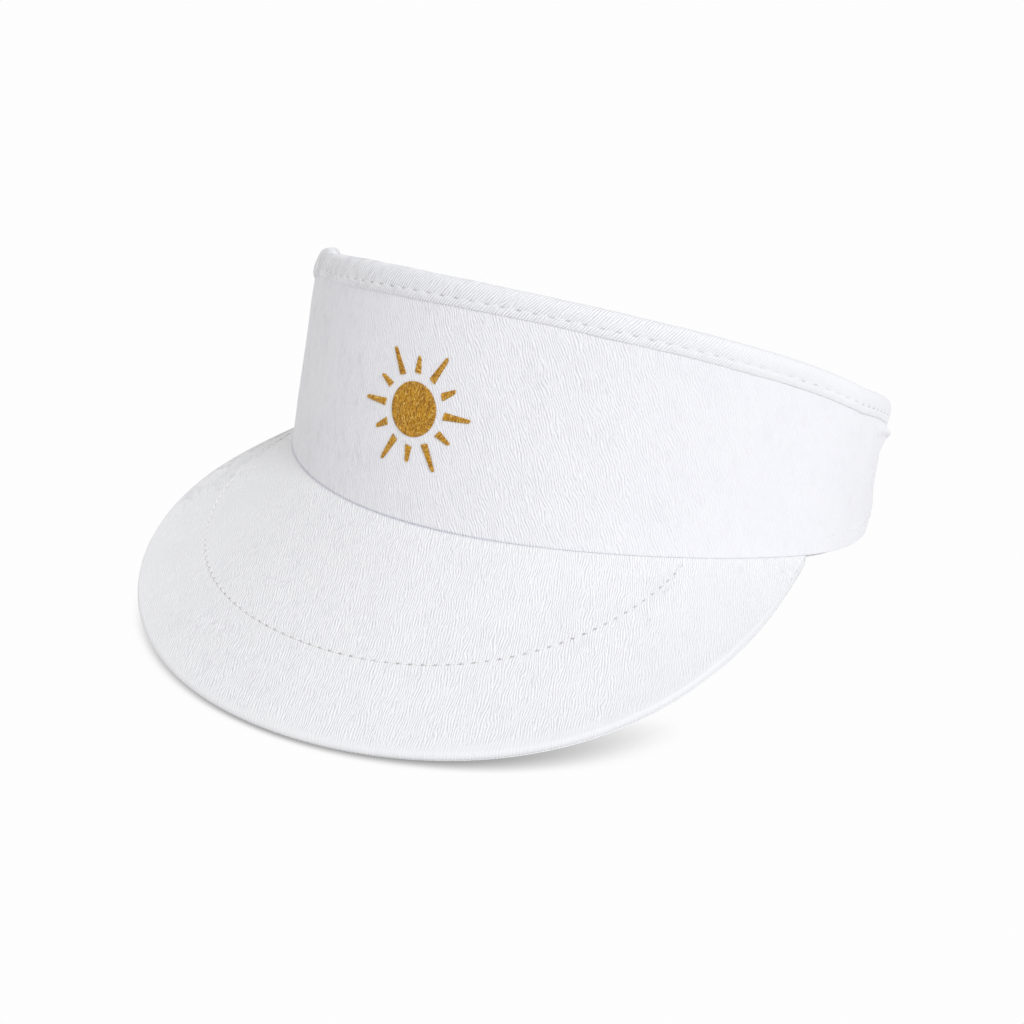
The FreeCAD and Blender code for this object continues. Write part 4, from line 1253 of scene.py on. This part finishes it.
def motif_rays():
    """Rays of cross stitches, narrowing to rounded tips."""
    u = np.linspace(-1, 1, 9)
    draw = np.random.RandomState(6)
    lines = []
    for i in range(RAYS):
        radius = RAY_START
        end = RAY_ENDS[i % 2]
        while radius < end:
            f = (radius - RAY_START) / (end - RAY_START)
            width = 1.12 - 0.62 * f
            if f > 0.85:
                width *= math.sqrt(max(1 - ((f - 0.85) / 0.16) ** 2, 0.05))
            width += draw.uniform(-0.04, 0.04)
            x, z = turned(2 * math.pi * i / RAYS, radius + 0.22 * u, width * u)
            crown = 0.34 * np.sqrt(np.clip(1 - u ** 2, 0, 1))
            lines.append((on_front(x, z, 0.10 + crown * (0.6 + 0.4 * width)),
                          outward(angle_at(x))))
            radius += RAY_PITCH
    return gather(lines)


def embroider(name, lines, radius, turns, seed, node):
    """Gold thread; each thread gets its own random row of the texture."""
    uv_rows = np.random.RandomState(seed).uniform(0, 90, len(lines[0]))
    place(tubes(name, lines, radius, GOLD, flat=0.9, ply=0.10, turns=turns, uv_rows=uv_rows),
          "gold_thread", node)


embroider("Motif_Disc", motif_disc(), 0.185, turns=2.5, seed=8, node="motif_disc")
embroider("Motif_Rays", motif_rays(), 0.175, turns=1.5, seed=9, node="motif_rays")

# -------------------------------------------------------------------------- closure
# Bearings are degrees from the front through +x, so 180 is the centre back.
LOOP_STRAP = (114.0, 198.0)
HOOK_STRAP = (246.0, 153.0)
LOOP_TAPE = (143.0, 196.8)
HOOK_TAPE = (154.5, 195.0)
LOOP_TAPE_R = STRAP_R + STRAP_THICK + 0.02
HOOK_TAPE_THICK = 0.40
HOOK_TAPE_R = STRAP_R + STRAP_LIFT - 0.02 - HOOK_TAPE_THICK


def strap_point(deg, radius, z):
    theta, radius, z = np.broadcast_arrays(np.radians(deg), radius, z)
    r = radius - STRAP_TAPER * z
    return np.stack([r * np.sin(theta), -r * np.cos(theta), z], -1)


def strap_outward(deg):
    theta = np.radians(deg)
    return np.stack([np.sin(theta), -np.cos(theta), 0 * theta], -1)


def strap_bearings(span, step):
    length = abs(math.radians(span[1] - span[0])) * STRAP_R
    return np.linspace(*span, max(3, int(length / step) + 1))[:, None]


def strap_section(low, high, thick, rows, edge):
    """Radial offsets and heights of a flat section with rounded selvages."""
    phase = np.radians([35, 90, 145])
    half = thick / 2
    outer = low + edge + (high - low - 2 * edge) * np.linspace(0, 1, rows)
    z = np.concatenate([outer, high - edge + edge * np.sin(phase), outer[:, ::-1],
                        low + edge - edge * np.sin(phase)], 1)
    radial = np.concatenate([np.full(rows, thick), half + half * np.cos(phase),
                             np.zeros(rows), half - half * np.cos(phase)])
    return radial, z


def build_strap(name, span, low, lift=None):
    """Woven strap with ribbed faces and a rounded far end."""
    deg = strap_bearings(span, 0.24)
    arc = np.radians(deg) * STRAP_R
    corner = 5.0
    near_end = np.clip(1 - np.abs(arc - arc[-1]) / corner, 0, 1)
    cut = corner * (1 - np.sqrt(1 - near_end * near_end))
    radial, z = strap_section(low + cut, STRAP_HIGH - cut, STRAP_THICK, rows=40, edge=0.45)
    rib_pitch, rib_height = 0.95, 0.05
    ribs = np.sin(TURN * arc / rib_pitch) * 0.5 + 0.5
    weave = np.sin(TURN * z / 0.9 + np.pi * np.floor(arc / rib_pitch)) * 0.5
    relief = rib_height * (ribs * 0.6 + 0.4 * weave) - rib_height * 0.6
    radius = STRAP_R + (lift(deg) if lift else 0.0) + radial
    radius = radius + np.sign(radial - STRAP_THICK / 2) * relief
    return loop_mesh(name, strap_point(deg, radius, z), WEBBING, (arc, z))


def build_tape(name, span, radius, thick, low, material, outer_face, seed, bump):
    """Tape with a rough outer or inner face and thinned ends."""
    deg = strap_bearings(span, 0.4)
    rows = 56
    radial, z = strap_section(low + 0 * deg, STRAP_HIGH - 1.6 + 0 * deg, thick, rows, edge=0.3)
    arc = np.radians(deg) * STRAP_R
    face = np.zeros(len(radial))
    if outer_face:
        face[:rows] = 1
    else:
        face[rows + 3:2 * rows + 3] = -1
    rough = bump * (0.6 * noise(arc / 0.7, z / 0.7, seed) + 0.4 * noise(arc / 1.9, z / 1.6, seed + 1))
    to_end = np.radians(np.minimum(np.abs(deg - span[0]), np.abs(span[1] - deg))) * STRAP_R
    fullness = np.clip(to_end / 0.5, 0.3, 1)
    r = radius + thick / 2 + (radial - thick / 2) * fullness + face * rough
    return loop_mesh(name, strap_point(deg, r, z), material, (arc, z))


def pile_loops():
    """The napped loops that the hooks catch."""
    draw = np.random.RandomState(12).uniform
    count = 3600
    deg = draw(143.4, 196.4, count)[:, None]
    z = draw(STRAP_LOW + 2.5, STRAP_HIGH - 2.1, count)[:, None]
    angle = draw(0, np.pi, count)[:, None]
    half = draw(0.45, 0.95, count)[:, None]
    height = draw(0.22, 0.42, count)[:, None]
    u = np.linspace(-1, 1, 6)
    points = strap_point(deg + np.degrees(half * np.cos(angle) * u / STRAP_R),
                         LOOP_TAPE_R + 0.38 + height * (1 - u ** 2),
                         z + half * np.sin(angle) * u)
    return points, strap_outward(deg) + 0.01   # nudged off any thread's own direction


def hooks():
    """Field of small bent hooks, leaning alternate ways."""
    bend = np.linspace(0, 1, 6) * np.pi * 0.72
    count = 19
    points = []
    for i, deg in enumerate(np.arange(155.3, 194.4, 0.72)):
        for j in range(count):
            z = STRAP_LOW + 2.6 + (STRAP_HIGH - STRAP_LOW - 5.2) * j / (count - 1)
            lean = 1 if (i + j) % 2 else -1
            shift = lean * np.degrees(0.30 * (1 - np.cos(bend)) / STRAP_R)
            points.append(strap_point(deg + shift, HOOK_TAPE_R - 0.34 * np.sin(bend), z))
    return np.array(points), [0.0, 0.02, 1.0]


def stitched_rectangle(start, end, radius, low, high, side):
    """Rectangle of stitches on a strap face; side is -1 on the inner face."""
    pitch = 3.2
    u = np.linspace(0, 1, 7)
    lines = []

    def add(deg, z):
        lift = -0.02 + 0.20 * np.sin(np.pi * u) ** 0.5
        lines.append((strap_point(deg, radius + side * lift, z),
                      side * strap_outward(deg + 0 * u)))

    def stitch(first, last, i, count):
        return first + (last - first) * (i + 0.12 + 0.76 * u) / count

    count = int(math.radians(end - start) * radius / pitch)
    for i in range(count):
        for z in (low, high):
            add(stitch(start, end, i, count), z)
    count = int((high - low) / pitch)
    for i in range(count):
        for deg in (start, end):
            add(deg, stitch(low, high, i, count))
    return gather(lines)


def build_label():
    """Blank care label, folded at its lower edge."""
    theta = even_angles(100, 112, 0.5)[:, None]
    f = np.linspace(0, 1, 16)
    z = np.concatenate([14.3 - 11.0 * f, 3.3 + 11.0 * f])
    bulge = 0.5 * np.sin(np.pi * f) + 0.1
    inset = np.concatenate([4.95 + bulge, 4.95 + bulge[::-1] + 0.22])
    arc = arc_at(theta)
    inset = inset + 0.12 * noise(arc / 6.0, z / 5.0, seed=121)
    return loop_mesh("Care_Label", on_band(theta, inset, z), SATIN, (arc, z))


place(build_strap("Loop_Strap", LOOP_STRAP, STRAP_LOW + 0.5), "strap_webbing", "loop_strap")
hook_strap = build_strap("Hook_Strap", HOOK_STRAP, STRAP_LOW,
                         lift=lambda deg: STRAP_LIFT * fade(deg, 217.0, 207.0))
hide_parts("hook_strap_root", "hook_strap_tab")
place(build_tape("Loop_Tape", LOOP_TAPE, LOOP_TAPE_R, thick=0.45, low=STRAP_LOW + 0.5 + 1.6,
                 material=PILE, outer_face=True, seed=101, bump=0.10), "loop_pile", "loop_tape")
place(tubes("Loop_Pile", pile_loops(), 0.045, PILE, sides=4, ply=0, taper=False), "loop_pile")
place(build_tape("Hook_Tape", HOOK_TAPE, HOOK_TAPE_R, thick=HOOK_TAPE_THICK,
                 low=STRAP_LOW + 1.6, material=HOOK, outer_face=False, seed=111, bump=0.02),
      "hook_tape", "hook_tape", body="strap_tab")
place(tubes("Hook_Field", hooks(), 0.085, HOOK, sides=5, ply=0, taper=False),
      "hook_tape", body="strap_tab")
sew("Hook_Tape_Stitches",
    stitched_rectangle(155.2, 196.0, STRAP_R + STRAP_LIFT + STRAP_THICK, STRAP_LOW + 2.5,
                       STRAP_HIGH - 2.5, side=1),
    0.16, "hook_tape_stitching", body="strap_tab")
sew("Loop_Tape_Stitches",
    stitched_rectangle(143.8, 196.0, STRAP_R, STRAP_LOW + 3.0, STRAP_HIGH - 2.5, side=-1),
    0.16, "loop_tape_stitching")
place(build_label(), "label_satin", "care_label")

# Points on the hook strap at the two bearings between which it passes from the visor to its loose tab
blend_start, blend_end = [
    tuple(to_row(strap_point(deg, STRAP_R + STRAP_LIFT + STRAP_THICK / 2, 12.0)))
    for deg in (208.5, 199.5)]
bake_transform(hook_strap)

# ---------------------------------------------------------------------------- stage
scene = bpy.context.scene
BACKDROP = 0.985                 # brightness the camera sees in floor and world


def floor_paper():
    """Diffuse to the scene; to the camera near white, darkened by contact shade."""
    material = bpy.data.materials.new("Floor_Paper")
    tree = clean_tree(material)
    output = add_node(tree, "OutputMaterial")
    diffuse = add_node(tree, "BsdfDiffuse", {"Color": (0.85, 0.85, 0.85, 1)})
    contact = add_node(tree, "AmbientOcclusion", {"Distance": 0.017}, samples=16)
    # sockets 1-2: occlusion range, 3-4: brightness range
    shade = add_node(tree, "MapRange",
                     {0: contact.outputs["AO"], 1: 0.04, 2: 0.74, 3: 0.16, 4: BACKDROP})
    glow = add_node(tree, "Emission", {"Strength": shade.outputs[0]})
    rays = add_node(tree, "LightPath")
    mix = add_node(tree, "MixShader", {0: rays.outputs["Is Camera Ray"],
                                       1: diffuse.outputs[0], 2: glow.outputs[0]})
    tree.links.new(mix.outputs[0], output.inputs[0])
    return material


def build_floor():
    half, z = 12, -0.0003
    mesh = bpy.data.meshes.new("Floor")
    corners = [(-half, -half, z), (half, -half, z), (half, half, z), (-half, half, z)]
    mesh.from_pydata(corners, [], [(0, 1, 2, 3)])
    floor = bpy.data.objects.new("Floor", mesh)
    scene.collection.objects.link(floor)
    mesh.materials.append(floor_paper())


def build_world():
    world = bpy.data.worlds.new("Studio")
    scene.world = world
    tree = clean_tree(world)
    output = add_node(tree, "OutputWorld")
    light, seen = [add_node(tree, "Background", {"Color": (1, 1, 1, 1), "Strength": strength})
                   for strength in (0.71, BACKDROP)]
    rays = add_node(tree, "LightPath")
    mix = add_node(tree, "MixShader", {0: rays.outputs["Is Camera Ray"],
                                       1: light.outputs[0], 2: seen.outputs[0]})
    tree.links.new(mix.outputs[0], output.inputs[0])


def direction(azimuth, elevation):
    """Unit vector from bearings in degrees; azimuth runs from the front towards +x."""
    a, e = math.radians(azimuth), math.radians(elevation)
    return np.array([math.sin(a) * math.cos(e), -math.cos(a) * math.cos(e), math.sin(e)])


def add_key_sun():
    light = bpy.data.lights.new("Key", "SUN")
    light.energy = 1.23
    light.angle = math.radians(20)
    light.color = (0.975, 0.995, 1.05)
    obj = bpy.data.objects.new("Key", light)
    towards = Vector(direction(azimuth=70, elevation=38))
    obj.rotation_euler = (-towards).to_track_quat("-Z", "Y").to_euler()
    obj.location = towards * 2
    scene.collection.objects.link(obj)


def add_camera():
    camera = bpy.data.cameras.new("Camera")
    camera.sensor_width = 36.0
    camera.lens = 61.7185195
    camera.clip_start, camera.clip_end = 0.01, 50
    obj = bpy.data.objects.new("Camera", camera)
    back = direction(azimuth=35.515, elevation=24.01)
    target = np.array([-20.974, 0.0, -18.208])   # mm from the band's centre
    obj.location = Vector((target + back * 581.697 + SHIFT) / 1000.0)
    obj.rotation_mode = "QUATERNION"
    obj.rotation_quaternion = Vector(-back).to_track_quat("-Z", "Y")
    scene.collection.objects.link(obj)
    scene.camera = obj


build_floor()
build_world()
add_key_sun()
add_camera()
scene.view_settings.view_transform = "Standard"
scene.view_settings.look = "None"
scene.view_settings.exposure = 0.0

bpy.context.view_layer.update()
